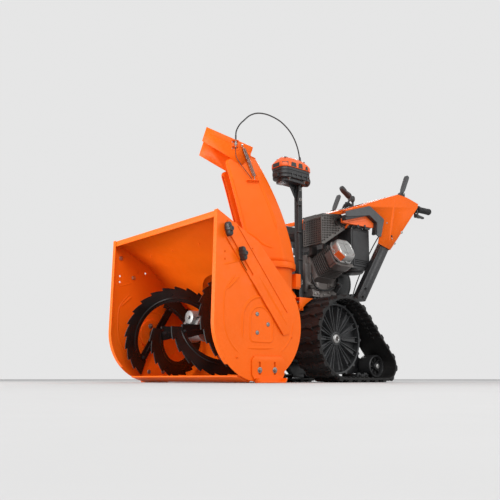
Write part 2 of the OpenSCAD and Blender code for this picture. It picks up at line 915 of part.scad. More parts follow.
module chute() {
    color(orange) place() at_chute() difference() {
        union() {
            difference() {
                intersection() {
                    chute_core(0, chute_z0, 0);
                    chute_limits();
                }
                chute_core(sheet, chute_z0 - 10, 20);
            }
            // foot plate and collar round the neck
            difference() {
                translate([0, 0, 465.4]) cylinder(h = 19, r = neck_r + 15, $fn = 96);
                translate([0, 0, 460]) cylinder(h = 18.6, r = neck_r + 0.4, $fn = 96);
                translate([0, 0, 470]) cylinder(h = 20, r = neck_r - sheet, $fn = 96);
            }
            translate([-chute_hw, -100, chute_z0 - 3]) difference() {
                cube([2 * chute_hw, 100, 3.1]);
                translate([chute_hw, 100, -1]) cylinder(h = 6, r = neck_r - sheet, $fn = 96);
            }
            // low front wall above the foot plate
            chute_side(-chute_hw, 2 * chute_hw) polygon([[97, chute_z0 - 3], [100, chute_z0 - 3],
                [front_s(540), 540], [front_s(540) - 3, 540]]);
        }
        translate([-chute_hw - 5, -hinge_s, hinge_z]) rotate([0, 90, 0])
            cylinder(h = 2 * chute_hw + 10, r = 5 + fit, $fn = 32);
    }
    // bracket that holds the foot of the spring
    color(orange) place() at_chute() translate([chute_hw - 0.1, -118, 812]) cube([16, 50, 4]);
}

module deflector_plate(n0) {
    chute_side(n0, sheet) polygon([
        [283, 1033], [92, 957], [100, 930], [112, 906], [141, 878], [188, 909], [301, 972]
    ]);
}

module deflector() {
    n1 = chute_hw + 0.6;
    color(orange) place() at_chute() {
        deflector_plate(n1);
        deflector_plate(-n1 - sheet);
        chute_side(-n1 - 0.1, 2 * n1 + 0.2) polygon([
            [283, 1033], [92, 957], [93, 953.5], [284, 1029.5]
        ]);
        // hinge pins through the chute walls
        for (x = [-n1 - 4.8, chute_hw - 7]) translate([x, -hinge_s, hinge_z]) rotate([0, 90, 0])
            cylinder(h = 12.4, r = 5, $fn = 32);
        // cable bracket and spring anchor
        translate([n1 + sheet - 0.1, -178, 952]) cube([14, 24, 26]);
        // guide tube that takes the cable above the hood
        translate([95.9, -164.2, 977]) cylinder(h = 22.6, r = cable_r, $fn = 24);
        translate([n1 + sheet - 0.1, -137, 960]) rotate([0, 90, 0]) cylinder(h = 12, r = 3, $fn = 24);
    }
}

// Closed outer shape of the return spring beside the chute's near wall
module deflector_spring() {
    color(steel) place() at_chute() translate([chute_hw + 12, -131, 948]) rotate([24.3, 0, 0])
        translate([0, 0, -128]) cylinder(h = 128, r = 6, $fn = 24);
}

// Tube of radius r swept along the points
function unit(v) = v / norm(v);
function ring_at(p, dir, r, sides) =
    let (u = unit(cross(dir, [0.9, -0.3, 0.1])), w = cross(dir, u))
    [for (k = [0:sides - 1]) p + r * cos(360 * k / sides) * u + r * sin(360 * k / sides) * w];

module tube(points, r, sides) {
    n = len(points);
    pts = [for (i = [0:n - 1]) each ring_at(
        points[i], unit(points[min(i + 1, n - 1)] - points[max(i - 1, 0)]), r, sides)];
    faces = [for (i = [0:n - 2], k = [0:sides - 1])
        [sides * i + k, sides * i + (k + 1) % sides, sides * (i + 1) + (k + 1) % sides,
            sides * (i + 1) + k]];
    polyhedron(pts, concat(faces, [[for (k = [0:sides - 1]) sides - 1 - k]],
        [[for (k = [0:sides - 1]) sides * (n - 1) + k]]));
}

module deflector_cable() {
    color(black) place() tube(cable_points, cable_r, 8);
}

// ---- tracks --------------------------------------------------------------------

track_dist = norm([idler_y - wheel_y, idler_z - wheel_z]);
track_dir = atan2(idler_z - wheel_z, idler_y - wheel_y);
track_a = acos((track_r - idler_belt_r) / track_dist);

// Side outline of the belt loop, moved inwards by m
module loop_outline(m) {
    r1 = track_r - m;
    r2 = idler_belt_r - m;
    a = track_dir + track_a;
    b = track_dir - track_a;
    translate([wheel_y, wheel_z]) circle(r = r1, $fn = 128);
    translate([idler_y, idler_z]) circle(r = r2, $fn = 96);
    polygon([
        [wheel_y + r1 * cos(a), wheel_z + r1 * sin(a)],
        [idler_y + r2 * cos(a), idler_z + r2 * sin(a)],
        [idler_y + r2 * cos(b), idler_z + r2 * sin(b)],
        [wheel_y + r1 * cos(b), wheel_z + r1 * sin(b)]
    ]);
}

module lug(y, z, a) {
    translate([0, y, z]) rotate([a - 90, 0, 0]) translate([track_in + 1, -7, -3])
        cube([track_out - track_in - 2, 14, lug_h + 3]);
}

module track_belt() {
    a = track_dir + track_a;
    b = track_dir - track_a;
    run = track_dist * sin(track_a);
    yz(track_in, track_out - track_in) difference() {
        loop_outline(0);
        loop_outline(belt_t);
    }
    // lugs round the drive wheel
    for (i = [0:11]) {
        g = a + 3 + i * (354 - (a - b)) / 11;
        lug(wheel_y + track_r * cos(g), wheel_z + track_r * sin(g), g);
    }
    // lugs on the sloping and the ground run
    for (i = [1:3]) {
        t = i * run / 4;
        lug(wheel_y + track_r * cos(a) + t * sin(a), wheel_z + track_r * sin(a) - t * cos(a), a);
        lug(wheel_y + track_r * cos(b) - t * sin(b), wheel_z + track_r * sin(b) + t * cos(b), b);
    }
    // lugs round the idler
    for (i = [0:3]) {
        g = b + 4 + i * (a - b - 8) / 3;
        lug(idler_y + idler_belt_r * cos(g), idler_z + idler_belt_r * sin(g), g);
    }
}

module drive_wheel() {
    difference() {
        union() {
            xrod(174, 62, wheel_y, wheel_z, 148, 96);
            for (i = [0:15]) translate([0, wheel_y, wheel_z]) rotate([i * 22.5, 0, 0])
                translate([196, 143, -7]) cube([40, 15, 14]);
        }
        xrod(208, 40, wheel_y, wheel_z, 140, 96);
        xrod(160, 40, wheel_y, wheel_z, 140, 96);
    }
    difference() {
        union() {
            xrod(171, 64, wheel_y, wheel_z, 30);
            for (i = [0:spokes - 1]) translate([0, wheel_y, wheel_z])
                rotate([i * 360 / spokes, 0, 0]) translate([199.9, 26, -5]) cube([30, 116, 10]);
        }
        xrod(228, 20, wheel_y, wheel_z, 9, 32);
    }
    xrod(60, 112, wheel_y, wheel_z, axle_r);
}

// Arm from the axle tube to the idler, with the guide shoe of the ground run
module track_frame() {
    difference() {
        union() {
            xrod(152, 13, wheel_y, wheel_z, 40);
            yz(152, 13) polygon([
                [wheel_y + 10, wheel_z + 36], [idler_y - 4, idler_z + 26], [idler_y - 4, idler_z - 26],
                [900, 36], [836, 36], [wheel_y - 20, wheel_z - 32]
            ]);
            xrod(152, 13, idler_y, idler_z, 28);
            xrod(152, 90, idler_y, idler_z, 9);
            translate([152, 850, 20]) cube([86, 75, 16]);
            for (y = [866, 908]) xrod(238, 6, y, 28, 6);
        }
        xrod(140, 40, wheel_y, wheel_z, axle_tube_r + fit);
    }
}

module idler() {
    difference() {
        union() {
            xrod(170, 68, idler_y, idler_z, idler_r, 64);
            xrod(168, 72, idler_y, idler_z, 17);
        }
        difference() {
            xrod(214, 60, idler_y, idler_z, 42, 64);
            xrod(204, 60, idler_y, idler_z, 17);
        }
        xrod(160, 140, idler_y, idler_z, 9 + fit);
    }
}

module on_side(s) {
    if (s > 0) children();
    else mirror([1, 0, 0]) children();
}

// ---- drift cutters -----------------------------------------------------------------

// Frame of a cutter: x runs down and back along the plate, from the upper knob
module at_cutter() {
    translate([plate_out, knob_a[0], knob_a[1]]) rotate([90, 0, 90]) rotate([0, 0, cut_tilt]) children();
}

knob_gap = norm(knob_b - knob_a);

module drift_cutter() {
    at_cutter() difference() {
        union() {
            translate([0, 0, 0.3]) linear_extrude(4) polygon([
                [8, -16], [-24, 31], [8, 55], [395, 55], [452, 12], [440, -16]
            ]);
            // stiffening edges, turned outwards
            translate([16, 51, 0.3]) cube([370, 4, 7]);
            translate([12, -16, 0.3]) cube([420, 4, 7]);
        }
        for (x = [0, knob_gap]) hull() {
            translate([x, 0, -1]) cylinder(h = 8, r = 4.6, $fn = 24);
            translate([x + cut_travel, 0, -1]) cylinder(h = 8, r = 4.6, $fn = 24);
        }
    }
}

// Knob with two wings and its stud through the plate
module wing_knob(p) {
    xrod(plate_in - 5, 30, p[0], p[1], 4, 24);
    xrod(plate_in - 4.3, 4, p[0], p[1], 9, 32);
    xrod(plate_out + 4.5, 26, p[0], p[1], 11, 32);
    translate([plate_out + 10, p[0], p[1]]) rotate([14, 0, 0]) translate([0, -5, -25]) cube([28, 10, 50]);
}

auger_housing();
side_plates();
scraper_bar();
skid_shoes();
housing_bolts();
gear_case();
impeller_housing();
chassis();
belt_cover();
drive_belt();
engine_block();
cylinder_fins();  // cylinder
valve_cover();
muffler();
muffler_guard();
blower_housing();
fuel_tank();
heater_box();
engine_cowl();
dash_panel();
handle_panels();
handle_tubes();
handle_grips();
tower_post();
tower_head();
tower_cover();
auger_shaft();
auger_flights();
shear_bolts();
impeller();
impeller_shaft();
engine_pulley();
chute();
deflector();
deflector_spring();
deflector_cable();
joystick();
clutch_lever(1);  // drive_clutch_lever
clutch_lever(-1);  // auger_clutch_lever
speed_lever();
steering_trigger(1);  // steering_trigger_left
steering_trigger(-1);  // steering_trigger_right
color(black) place() track_frame();  // track_frame_left
color(black) place() on_side(-1) track_frame();  // track_frame_right
color(black) place() track_belt();  // track_belt_left
color(black) place() on_side(-1) track_belt();  // track_belt_right
color(black) place() drive_wheel();  // drive_wheel_left
color(black) place() on_side(-1) drive_wheel();  // drive_wheel_right
color(black) place() idler();  // idler_left
color(black) place() on_side(-1) idler();  // idler_right
color(orange) place() drift_cutter();  // drift_cutter_left
color(orange) place() on_side(-1) drift_cutter();  // drift_cutter_right
color(black) place() wing_knob(knob_a);  // wing_knob_upper_left
color(black) place() wing_knob(knob_b);  // wing_knob_lower_left
color(black) place() on_side(-1) wing_knob(knob_a);  // wing_knob_upper_right
color(black) place() on_side(-1) wing_knob(knob_b);  // wing_knob_lower_right
fuel_cap();
recoil_handle();
throttle_lever();
headlamp();
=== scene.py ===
"""Looks of the tracked two-stage snow blower.

Positions are the CAD drawing's millimetres, which d() moves to the row frame.
"""
import json
import math

import bmesh
import bpy
from mathutils import Matrix, Vector
from mathutils.geometry import tessellate_polygon

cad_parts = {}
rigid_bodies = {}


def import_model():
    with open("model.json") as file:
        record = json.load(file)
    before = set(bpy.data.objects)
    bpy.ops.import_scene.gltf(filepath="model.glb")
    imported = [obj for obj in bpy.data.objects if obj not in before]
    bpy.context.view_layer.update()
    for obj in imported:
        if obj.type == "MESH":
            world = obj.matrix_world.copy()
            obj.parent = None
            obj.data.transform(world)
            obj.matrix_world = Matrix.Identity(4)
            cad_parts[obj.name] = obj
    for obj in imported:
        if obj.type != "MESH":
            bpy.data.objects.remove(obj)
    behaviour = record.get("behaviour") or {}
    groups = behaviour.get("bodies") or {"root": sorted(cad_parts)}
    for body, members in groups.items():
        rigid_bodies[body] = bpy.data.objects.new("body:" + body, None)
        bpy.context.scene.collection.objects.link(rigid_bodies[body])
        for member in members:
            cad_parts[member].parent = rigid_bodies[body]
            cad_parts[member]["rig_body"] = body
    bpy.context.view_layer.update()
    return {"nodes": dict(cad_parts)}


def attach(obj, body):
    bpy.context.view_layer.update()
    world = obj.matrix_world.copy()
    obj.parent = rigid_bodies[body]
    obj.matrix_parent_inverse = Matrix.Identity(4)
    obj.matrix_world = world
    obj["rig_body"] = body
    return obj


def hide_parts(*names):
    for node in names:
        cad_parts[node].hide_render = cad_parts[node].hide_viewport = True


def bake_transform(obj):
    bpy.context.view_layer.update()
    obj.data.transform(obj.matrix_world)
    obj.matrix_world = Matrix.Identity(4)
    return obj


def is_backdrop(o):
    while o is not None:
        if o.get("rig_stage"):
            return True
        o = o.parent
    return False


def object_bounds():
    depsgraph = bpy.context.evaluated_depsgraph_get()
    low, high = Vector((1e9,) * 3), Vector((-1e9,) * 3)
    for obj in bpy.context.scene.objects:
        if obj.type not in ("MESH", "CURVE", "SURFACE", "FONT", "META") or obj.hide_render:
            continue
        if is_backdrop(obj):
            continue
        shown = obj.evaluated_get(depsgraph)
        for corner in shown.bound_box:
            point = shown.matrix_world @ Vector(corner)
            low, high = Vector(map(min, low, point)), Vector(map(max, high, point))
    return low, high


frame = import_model()
nodes = frame["nodes"]
MID_Y = 723.5  # the drawing's Y at the middle of the machine's length
cos, sin, rad, pi = math.cos, math.sin, math.radians, math.pi


def d(p):
    """The drawing's millimetres to the row frame's metres."""
    return Vector((p[0], p[1] - MID_Y, p[2])) / 1000


# ---- camera, light and floor -------------------------------------------------
cam_data = bpy.data.cameras.new("camera")
cam_data.lens = 47.1
cam_data.shift_y = 0.08
cam_data.clip_start = 0.005
cam = bpy.data.objects.new("camera", cam_data)
bpy.context.scene.collection.objects.link(cam)
bpy.context.scene.camera = cam
turn, tilt = rad(49.18), rad(7.76)
look = Vector((-sin(turn) * cos(tilt), cos(turn) * cos(tilt), sin(tilt)))
cam.location = (2.065, -2.0545, 0.013)
cam.rotation_mode = "QUATERNION"
cam.rotation_quaternion = look.to_track_quat("-Z", "Y")

world = bpy.data.worlds.new("studio")
world.use_nodes = True
world.node_tree.nodes["Background"].inputs["Color"].default_value = (0.79, 0.79, 0.79, 1)
world.node_tree.nodes["Background"].inputs["Strength"].default_value = 1.0
bpy.context.scene.world = world
bpy.context.scene.view_settings.view_transform = "Standard"


def lamp(name, at, to, size, power):
    """Round soft light at one place, aimed at another, in metres."""
    data = bpy.data.lights.new(name, "AREA")
    data.shape, data.size, data.energy = "DISK", size, power
    o = bpy.data.objects.new(name, data)
    o.location = at
    o.rotation_mode = "QUATERNION"
    o.rotation_quaternion = (Vector(to) - Vector(at)).to_track_quat("-Z", "Y")
    bpy.context.scene.collection.objects.link(o)


lamp("key", (2.6, -2.2, 2.6), (0, 0, 0.5), 1.6, 52)
lamp("front", (3.2, -1.6, 1.2), (0.1, -0.2, 0.75), 1.2, 8)
lamp("side", (3.2, 1.4, 1.3), (0, 0.2, 0.5), 1.4, 22)
lamp("back", (-2.4, 2.4, 2.6), (0, 0, 0.6), 1.6, 40)
lamp("bucket", (-0.9, -2.9, 0.5), (0, -0.5, 0.35), 1.4, 62)


# ---- materials ---------------------------------------------------------------
def material(name, color, rough, metal=0.0, coat=0.0, blotch=0.06, gloss_spread=0.08, bumps=((700, 0.1),),
        wear_and_edge_highlight=None, wear_and_highlight_reach=0.0, dirt=0.0, specular=0.5, transmission=0.0):
    """Procedural material: blotchy colour, uneven gloss, fine surface bumps, sharp edges lightened in noisy
    chips as partly worn paint and partly a painted edge highlight, and settled dust.
    """
    mat = bpy.data.materials.new(name)
    mat.use_nodes = True
    tree = mat.node_tree
    add, link = tree.nodes.new, tree.links.new
    bsdf = tree.nodes["Principled BSDF"]
    bsdf.inputs["Metallic"].default_value = metal
    bsdf.inputs["Coat Weight"].default_value = coat
    bsdf.inputs["Coat Roughness"].default_value = 0.12
    bsdf.inputs["Specular IOR Level"].default_value = specular
    bsdf.inputs["Transmission Weight"].default_value = transmission
    coords = add("ShaderNodeTexCoord").outputs["Object"]

    def noise(scale, detail=3.0):
        n = add("ShaderNodeTexNoise")
        n.inputs["Scale"].default_value = scale
        n.inputs["Detail"].default_value = detail
        link(coords, n.inputs["Vector"])
        return n.outputs["Fac"]

    def remap(value, a, b, lo=0.3, hi=0.7):
        m = add("ShaderNodeMapRange")
        for k, x in zip(("From Min", "From Max", "To Min", "To Max"), (lo, hi, a, b)):
            m.inputs[k].default_value = x
        link(value, m.inputs["Value"])
        return m.outputs["Result"]

    def mix(factor, first, second):
        m = add("ShaderNodeMix")
        m.data_type = "RGBA"
        link(factor, m.inputs[0])
        for socket, value in ((m.inputs[6], first), (m.inputs[7], second)):
            if isinstance(value, tuple):
                socket.default_value = (*value, 1)
            else:
                link(value, socket)
        return m.outputs[2]

    low = tuple(c * (1 - blotch) for c in color)
    high = tuple(min(1, c * (1 + blotch) + blotch * 0.02) for c in color)
    base = mix(remap(noise(9), 0, 1), low, high)
    rough_out = remap(noise(38, 5), rough - gloss_spread, rough + gloss_spread)
    # sharp edges get a lighter colour in noisy chips: partly worn paint, partly a painted highlight along
    # the edges
    if wear_and_edge_highlight:
        point = add("ShaderNodeNewGeometry").outputs["Pointiness"]
        edge = remap(point, 0, wear_and_highlight_reach, 0.53, 0.62)
        chips_and_highlight_mask = add("ShaderNodeMath")
        chips_and_highlight_mask.operation = "MULTIPLY"
        link(edge, chips_and_highlight_mask.inputs[0])
        link(remap(noise(120, 6), 0, 1, 0.42, 0.6), chips_and_highlight_mask.inputs[1])
        base = mix(chips_and_highlight_mask.outputs[0], base, wear_and_edge_highlight)
    if dirt:
        base = mix(remap(noise(24, 8), 0, dirt, 0.45, 0.8), base, (0.32, 0.29, 0.26))
    link(base, bsdf.inputs["Base Color"])
    link(rough_out, bsdf.inputs["Roughness"])
    last = None
    for scale, strength in bumps:
        b = add("ShaderNodeBump")
        b.inputs["Strength"].default_value = strength
        b.inputs["Distance"].default_value = 0.0006
        link(noise(scale, 2), b.inputs["Height"])
        if last:
            link(last, b.inputs["Normal"])
        last = b.outputs["Normal"]
    if last:
        link(last, bsdf.inputs["Normal"])
    return mat


ORANGE = (0.86, 0.127, 0.003)
# each material's wear colour is a lighter tint for its sharp edges: partly worn paint, partly a painted edge
# highlight
M = {
    "orange": material("orange_powder_coat", ORANGE, 0.42, blotch=0.035, bumps=((420, 0.10), (60, 0.04)),
        wear_and_edge_highlight=(0.95, 0.36, 0.12), wear_and_highlight_reach=0.08, dirt=0.004, specular=0.14),
    "orange_plastic": material("orange_moulding", (0.84, 0.12, 0.01), 0.42, blotch=0.04,
        bumps=((1500, 0.12),), wear_and_edge_highlight=(0.9, 0.35, 0.15), wear_and_highlight_reach=0.3),
    "black": material("black_powder_coat", (0.0105, 0.0105, 0.0115), 0.4, coat=0.05, blotch=0.12,
        bumps=((600, 0.16), (80, 0.03)), wear_and_edge_highlight=(0.08, 0.08, 0.085), wear_and_highlight_reach=0.5, dirt=0.015, specular=0.4),
    "auger": material("auger_black", (0.0035, 0.0031, 0.003), 0.34, coat=0.04, blotch=0.25,
        bumps=((260, 0.14), (40, 0.1)), dirt=0.008, specular=0.35),
    "plastic": material("black_moulding", (0.018, 0.018, 0.019), 0.46, blotch=0.12,
        bumps=((1400, 0.22), (90, 0.04)), wear_and_edge_highlight=(0.07, 0.07, 0.07), wear_and_highlight_reach=0.5, dirt=0.02),
    "wheel": material("wheel_moulding", (0.038, 0.039, 0.041), 0.44, blotch=0.12,
        bumps=((1200, 0.2), (90, 0.04)), wear_and_edge_highlight=(0.12, 0.12, 0.12), wear_and_highlight_reach=0.6, dirt=0.02),
    "plastic_gray": material("grey_moulding", (0.055, 0.057, 0.06), 0.5, blotch=0.1, bumps=((1400, 0.2),),
        wear_and_edge_highlight=(0.14, 0.14, 0.14), wear_and_highlight_reach=0.4),
    "rubber": material("track_rubber", (0.0095, 0.009, 0.009), 0.62, blotch=0.2,
        bumps=((900, 0.3), (70, 0.12)), wear_and_edge_highlight=(0.035, 0.033, 0.031), wear_and_highlight_reach=0.5, dirt=0.02, specular=0.3),
    "grip": material("grip_rubber", (0.02, 0.02, 0.021), 0.6, blotch=0.12, bumps=((1800, 0.25),),
        specular=0.35),
    "steel": material("zinc_plate", (0.42, 0.41, 0.38), 0.34, metal=1.0, blotch=0.08, bumps=((800, 0.08),),
        wear_and_edge_highlight=(0.8, 0.8, 0.8), wear_and_highlight_reach=0.4),
    "spring": material("spring_steel", (0.30, 0.26, 0.235), 0.36, metal=1.0, blotch=0.12,
        bumps=((900, 0.08),)),
    "cast": material("cast_grey", (0.30, 0.295, 0.29), 0.46, metal=0.6, blotch=0.12,
        bumps=((500, 0.35), (90, 0.1)), dirt=0.05),
    "alloy": material("cast_alloy", (0.40, 0.395, 0.385), 0.34, metal=0.85, blotch=0.1,
        bumps=((900, 0.2), (60, 0.1)), wear_and_edge_highlight=(0.75, 0.75, 0.75), wear_and_highlight_reach=0.5),
    "bolt": material("dull_zinc", (0.27, 0.26, 0.25), 0.42, metal=0.9, blotch=0.12, bumps=((800, 0.12),),
        dirt=0.03),
    "guard": material("guard_sheet", (0.115, 0.105, 0.098), 0.36, metal=0.55, blotch=0.2,
        bumps=((700, 0.2),), dirt=0.03),
    "badge": material("badge_enamel", (0.62, 0.105, 0.02), 0.4, blotch=0.05, bumps=((1500, 0.1),)),
    "engine": material("engine_casting", (0.150, 0.132, 0.124), 0.42, metal=0.6, blotch=0.14,
        bumps=((650, 0.35), (90, 0.08)), wear_and_edge_highlight=(0.3, 0.29, 0.28), wear_and_highlight_reach=0.5, dirt=0.04),
    "heat": material("heat_proof_coat", (0.032, 0.026, 0.024), 0.52, metal=0.4, blotch=0.25,
        bumps=((700, 0.25),), dirt=0.04),
    "cable": material("cable_sheath", (0.012, 0.012, 0.012), 0.4, blotch=0.1, bumps=((2200, 0.12),)),
    "lens": material("lamp_lens", (0.9, 0.93, 0.95), 0.06, blotch=0.01, gloss_spread=0.02,
        bumps=((500, 0.06),), transmission=0.85),
    "glow": material("lamp_reflector", (0.8, 0.8, 0.82), 0.18, metal=1.0, blotch=0.03, bumps=((300, 0.2),)),
    "floor": material("studio_floor", (0.51, 0.51, 0.51), 0.9, blotch=0.01, bumps=((30, 0.02),),
        specular=0.1),
}

me = bpy.data.meshes.new("floor")
me.from_pydata([(60 * cos(pi * i / 24), 60 * sin(pi * i / 24), 0) for i in range(48)], [],
    [tuple(range(48))])
me.materials.append(M["floor"])
floor = bpy.data.objects.new("floor", me)
floor.location = (0, 0, -0.0005)
bpy.context.scene.collection.objects.link(floor)
floor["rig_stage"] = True


# ---- mesh helpers (millimetres of the drawing) -------------------------------
class Geo:
    """Points and faces, joined by adding."""

    def __init__(self, v=(), f=()):
        self.v, self.f = [Vector(p) for p in v], [tuple(q) for q in f]

    def __add__(self, o):
        n = len(self.v)
        return Geo(self.v + o.v, self.f + [tuple(i + n for i in q) for q in o.f])

    def at(self, m):
        return Geo([m @ p for p in self.v], self.f)

    def mirror(self):
        return Geo([(-p.x, p.y, p.z) for p in self.v], [q[::-1] for q in self.f])


def many(parts):
    g = Geo()
    for p in parts:
        g += p
    return g


def mat4(axis, degrees):
    """Turn about an axis."""
    return Matrix.Rotation(rad(degrees), 4, axis)


def move(x, y, z):
    return Matrix.Translation((x, y, z))


def axes(axis, u, v, w):
    """The place at u and v across the axis and w along it."""
    return {"X": (w, u, v), "Y": (u, w, v), "Z": (u, v, w)}[axis]


def prism(axis, pts, a, b, pts_b=None):
    """Outline pts drawn along the axis from a to b, where it may end as the outline pts_b."""
    n = len(pts)
    v = [axes(axis, *p, a) for p in pts] + [axes(axis, *p, b) for p in (pts_b or pts)]
    f = [tuple(range(n))[::-1], tuple(range(n, 2 * n))]
    f += [(i, (i + 1) % n, n + (i + 1) % n, n + i) for i in range(n)]
    return Geo(v, f)


def block(x0, x1, y0, y1, z0, z1):
    return prism("Z", [(x0, y0), (x1, y0), (x1, y1), (x0, y1)], z0, z1)


def loft(rings, caps=True, loop=False):
    """Skin over rings of as many points each, with flat ends or as one closed loop."""
    m, n = len(rings), len(rings[0])
    f = [(j * n + i, j * n + (i + 1) % n, (j + 1) % m * n + (i + 1) % n, (j + 1) % m * n + i)
        for j in range(m if loop else m - 1) for i in range(n)]
    if caps and not loop:
        f += [tuple(range(n))[::-1], tuple(range((m - 1) * n, m * n))]
    return Geo([q for ring in rings for q in ring], f)


def inset(poly, m):
    """Outline moved inwards by m; the outline runs anticlockwise."""
    out, n = [], len(poly)
    for i in range(n):
        p, a, b = Vector(poly[i]), Vector(poly[i - 1]), Vector(poly[(i + 1) % n])
        u, w = (p - a).normalized(), (b - p).normalized()
        nu, nw = Vector((-u.y, u.x)), Vector((-w.y, w.x))
        out.append(tuple(p + (nu + nw) * m / max(0.3, 1 + nu.dot(nw))))
    return out


def area(poly):
    """Signed area, positive for an outline that runs anticlockwise."""
    return sum(a[0] * b[1] - b[0] * a[1] for a, b in zip(poly, poly[1:] + poly[:1])) / 2


def plate(axis, outline, a, b, holes=(), edge=0.5):
    """Flat sheet from a to b with real holes; all its rims are chamfered by edge."""
    loops = [outline if area(outline) > 0 else outline[::-1]] + [h[::-1] if area(h) > 0 else h
        for h in map(list, holes)]
    faces = [inset(h, edge) for h in loops]
    rings = [(a, faces), (a + edge, loops), (b - edge, loops), (b, faces)]
    v = [axes(axis, *q, h) for h, group in rings for loop in group for q in loop]
    size = sum(len(loop) for loop in loops)
    tri = [tuple(t) for t in tessellate_polygon([[Vector((*q, 0)) for q in loop] for loop in faces])]
    f = [t[::-1] for t in tri] + [tuple(3 * size + i for i in t) for t in tri]
    first = 0
    for loop in loops:
        m = len(loop)
        for k in range(3):
            near, far = k * size + first, (k + 1) * size + first
            f += [(near + i, near + (i + 1) % m, far + (i + 1) % m, far + i) for i in range(m)]
        first += m
    return Geo(v, f)


def hole(c, r, n=24):
    """Round hole for a plate."""
    return [(c[0] + u, c[1] + w) for u, w in ring_pts(r, n)]


def slot_hole(p, q, r):
    """Long hole with round ends, from p to q."""
    n = 10
    turn = math.atan2(q[1] - p[1], q[0] - p[0])
    ends = [(q, turn - pi / 2), (p, turn + pi / 2)]
    return [(c[0] + r * cos(a + pi * k / n), c[1] + r * sin(a + pi * k / n)) for c, a in ends
        for k in range(n + 1)]


def ring_pts(r, n):
    return [(r * cos(2 * pi * i / n), r * sin(2 * pi * i / n)) for i in range(n)]


def lathe(axis, c, profile, n=48):
    """Surface of revolution from (radius, place along the axis) pairs; it closes at its ends."""
    rings = [[tuple(a + b for a, b in zip(axes(axis, u, w, h), c)) for u, w in ring_pts(max(r, 0.001), n)]
        for r, h in profile]
    return loft(rings, caps=profile[0] != profile[-1])


def rod(axis, c, r, a, b, n=32, edge=0.6):
    """Round bar from a to b along the axis, with chamfered ends."""
    return lathe(axis, c, [(r - edge, a), (r, a + edge), (r, b - edge), (r - edge, b)], n)


def spline(pts, per=8):
    """Smooth line through the points."""
    p = [Vector(q) for q in pts]
    out = []
    for i, (a, b) in enumerate(zip(p, p[1:])):
        before = p[i - 1] if i else a * 2 - b
        after = p[i + 2] if i + 2 < len(p) else b * 2 - a
        for k in range(per):
            t = k / per
            out.append(0.5 * ((2 * a) + (b - before) * t + (2 * before - 5 * a + 4 * b - after) * t * t
                + (3 * a - before - 3 * b + after) * t ** 3))
    return out + [p[-1]]


def sweep(pts, r, n=12, up=(0, 0, 1)):
    """Tube along the points; r is one radius or one for each point."""
    pts = [Vector(p) for p in pts]
    radii = [r] * len(pts) if isinstance(r, (int, float)) else r
    section = ring_pts(1, n)
    t0 = (pts[1] - pts[0]).normalized()
    u = Vector(up) - Vector(up).dot(t0) * t0
    u = u.normalized() if u.length > 0.05 else t0.orthogonal().normalized()
    rings = []
    for i, p in enumerate(pts):
        t = (pts[min(i + 1, len(pts) - 1)] - pts[max(i - 1, 0)]).normalized()
        u = (u - u.dot(t) * t).normalized()
        w = t.cross(u)
        rings.append([p + radii[i] * (a * w + b * u) for a, b in section])
    return loft(rings)


def hose(pts, per, r, n):
    """Tube along a smooth line through the points."""
    return sweep(spline(pts, per), r, n)


SINK = 1.0  # depth of a ridge's underside in its sheet


def ridge(path, normal, width, height, closed=False):
    """Pressed ridge on a sheet: a smooth hump along the path, with its underside sunk in the sheet."""
    path = [Vector(p) for p in path]
    normal = Vector(normal).normalized()
    n, m = len(path), 7
    rings = []
    for i, p in enumerate(path):
        if closed:
            before, after = path[i - 1], path[(i + 1) % n]
        else:
            before, after = path[max(i - 1, 0)], path[min(i + 1, n - 1)]
        side = (after - before).normalized().cross(normal)
        end = 1.0 if closed else min(1.0, 0.25 + min(i, n - 1 - i) * 0.4)
        hump = [-1 + 2 * k / (m - 1) for k in range(m)]
        ring = [p + side * t * width / 2 * end + normal * height * end * 0.5 * (1 + cos(pi * t))
            for t in hump]
        base = [p + side * width / 2 * end - normal * SINK, p - side * width / 2 * end - normal * SINK]
        rings.append(ring + base)
    return loft(rings, loop=closed)


def rounded(pts, r, n=4):
    """A 2-D outline with its corners rounded."""
    out = []
    for i, p in enumerate(pts):
        p, a, b = Vector(p), Vector(pts[i - 1]), Vector(pts[(i + 1) % len(pts)])
        u, w = (a - p).normalized(), (b - p).normalized()
        k = min(r, (a - p).length * 0.45, (b - p).length * 0.45)
        s, e = p + u * k, p + w * k
        out += [tuple((1 - t) ** 2 * s + 2 * t * (1 - t) * p + t * t * e)
            for t in [j / n for j in range(n + 1)]]
    return out


def rect(x0, y0, x1, y1, r, n=4):
    """Rectangle with rounded corners."""
    return rounded([(x0, y0), (x1, y0), (x1, y1), (x0, y1)], r, n)


def nut(axis, c, r=7.5, h=7, side=1, washer=True):
    """Hex nut or bolt head with its washer and the stud's end, standing on c along the axis."""
    g = Geo()
    p = [0, 0, 0]
    if washer:
        g += lathe(axis, c, [(r * 1.5, 0), (r * 1.6, 0.4 * side), (r * 1.6, 1.2 * side),
            (r * 1.4, 1.6 * side)], 32)
    hexa = ring_pts(r, 6)
    inner = ring_pts(r * 0.9, 6)
    a, b = 1.5 * side, (1.5 + h) * side
    body = prism(axis, hexa, a, b - 1.0 * side) + prism(axis, hexa, b - 1.0 * side, b, inner)
    stud = lathe(axis, p, [(r * 0.5, a), (r * 0.5, b + 1.5 * side), (r * 0.35, b + 2.4 * side)], 20)
    m = move(*c)
    return g + body.at(m) + stud.at(m)


def screw(axis, c, r=6, side=1):
    """Dome-headed screw with a hexagon socket."""
    dome = [(r, -0.5 * side), (r, 0.6 * side), (r * 0.86, 2.2 * side), (r * 0.55, 3.2 * side),
        (r * 0.42, 3.3 * side), (r * 0.4, 1.2 * side), (0.01, 1.2 * side)]
    return lathe(axis, c, dome, 28)


def soften(o, width, segments, angle):
    """Bevel the edges sharper than angle, width in millimetres."""
    b = o.modifiers.new("edge", "BEVEL")
    b.width, b.segments, b.limit_method, b.angle_limit = width / 1000, segments, "ANGLE", rad(angle)
    b.use_clamp_overlap = False
    b.harden_normals = True


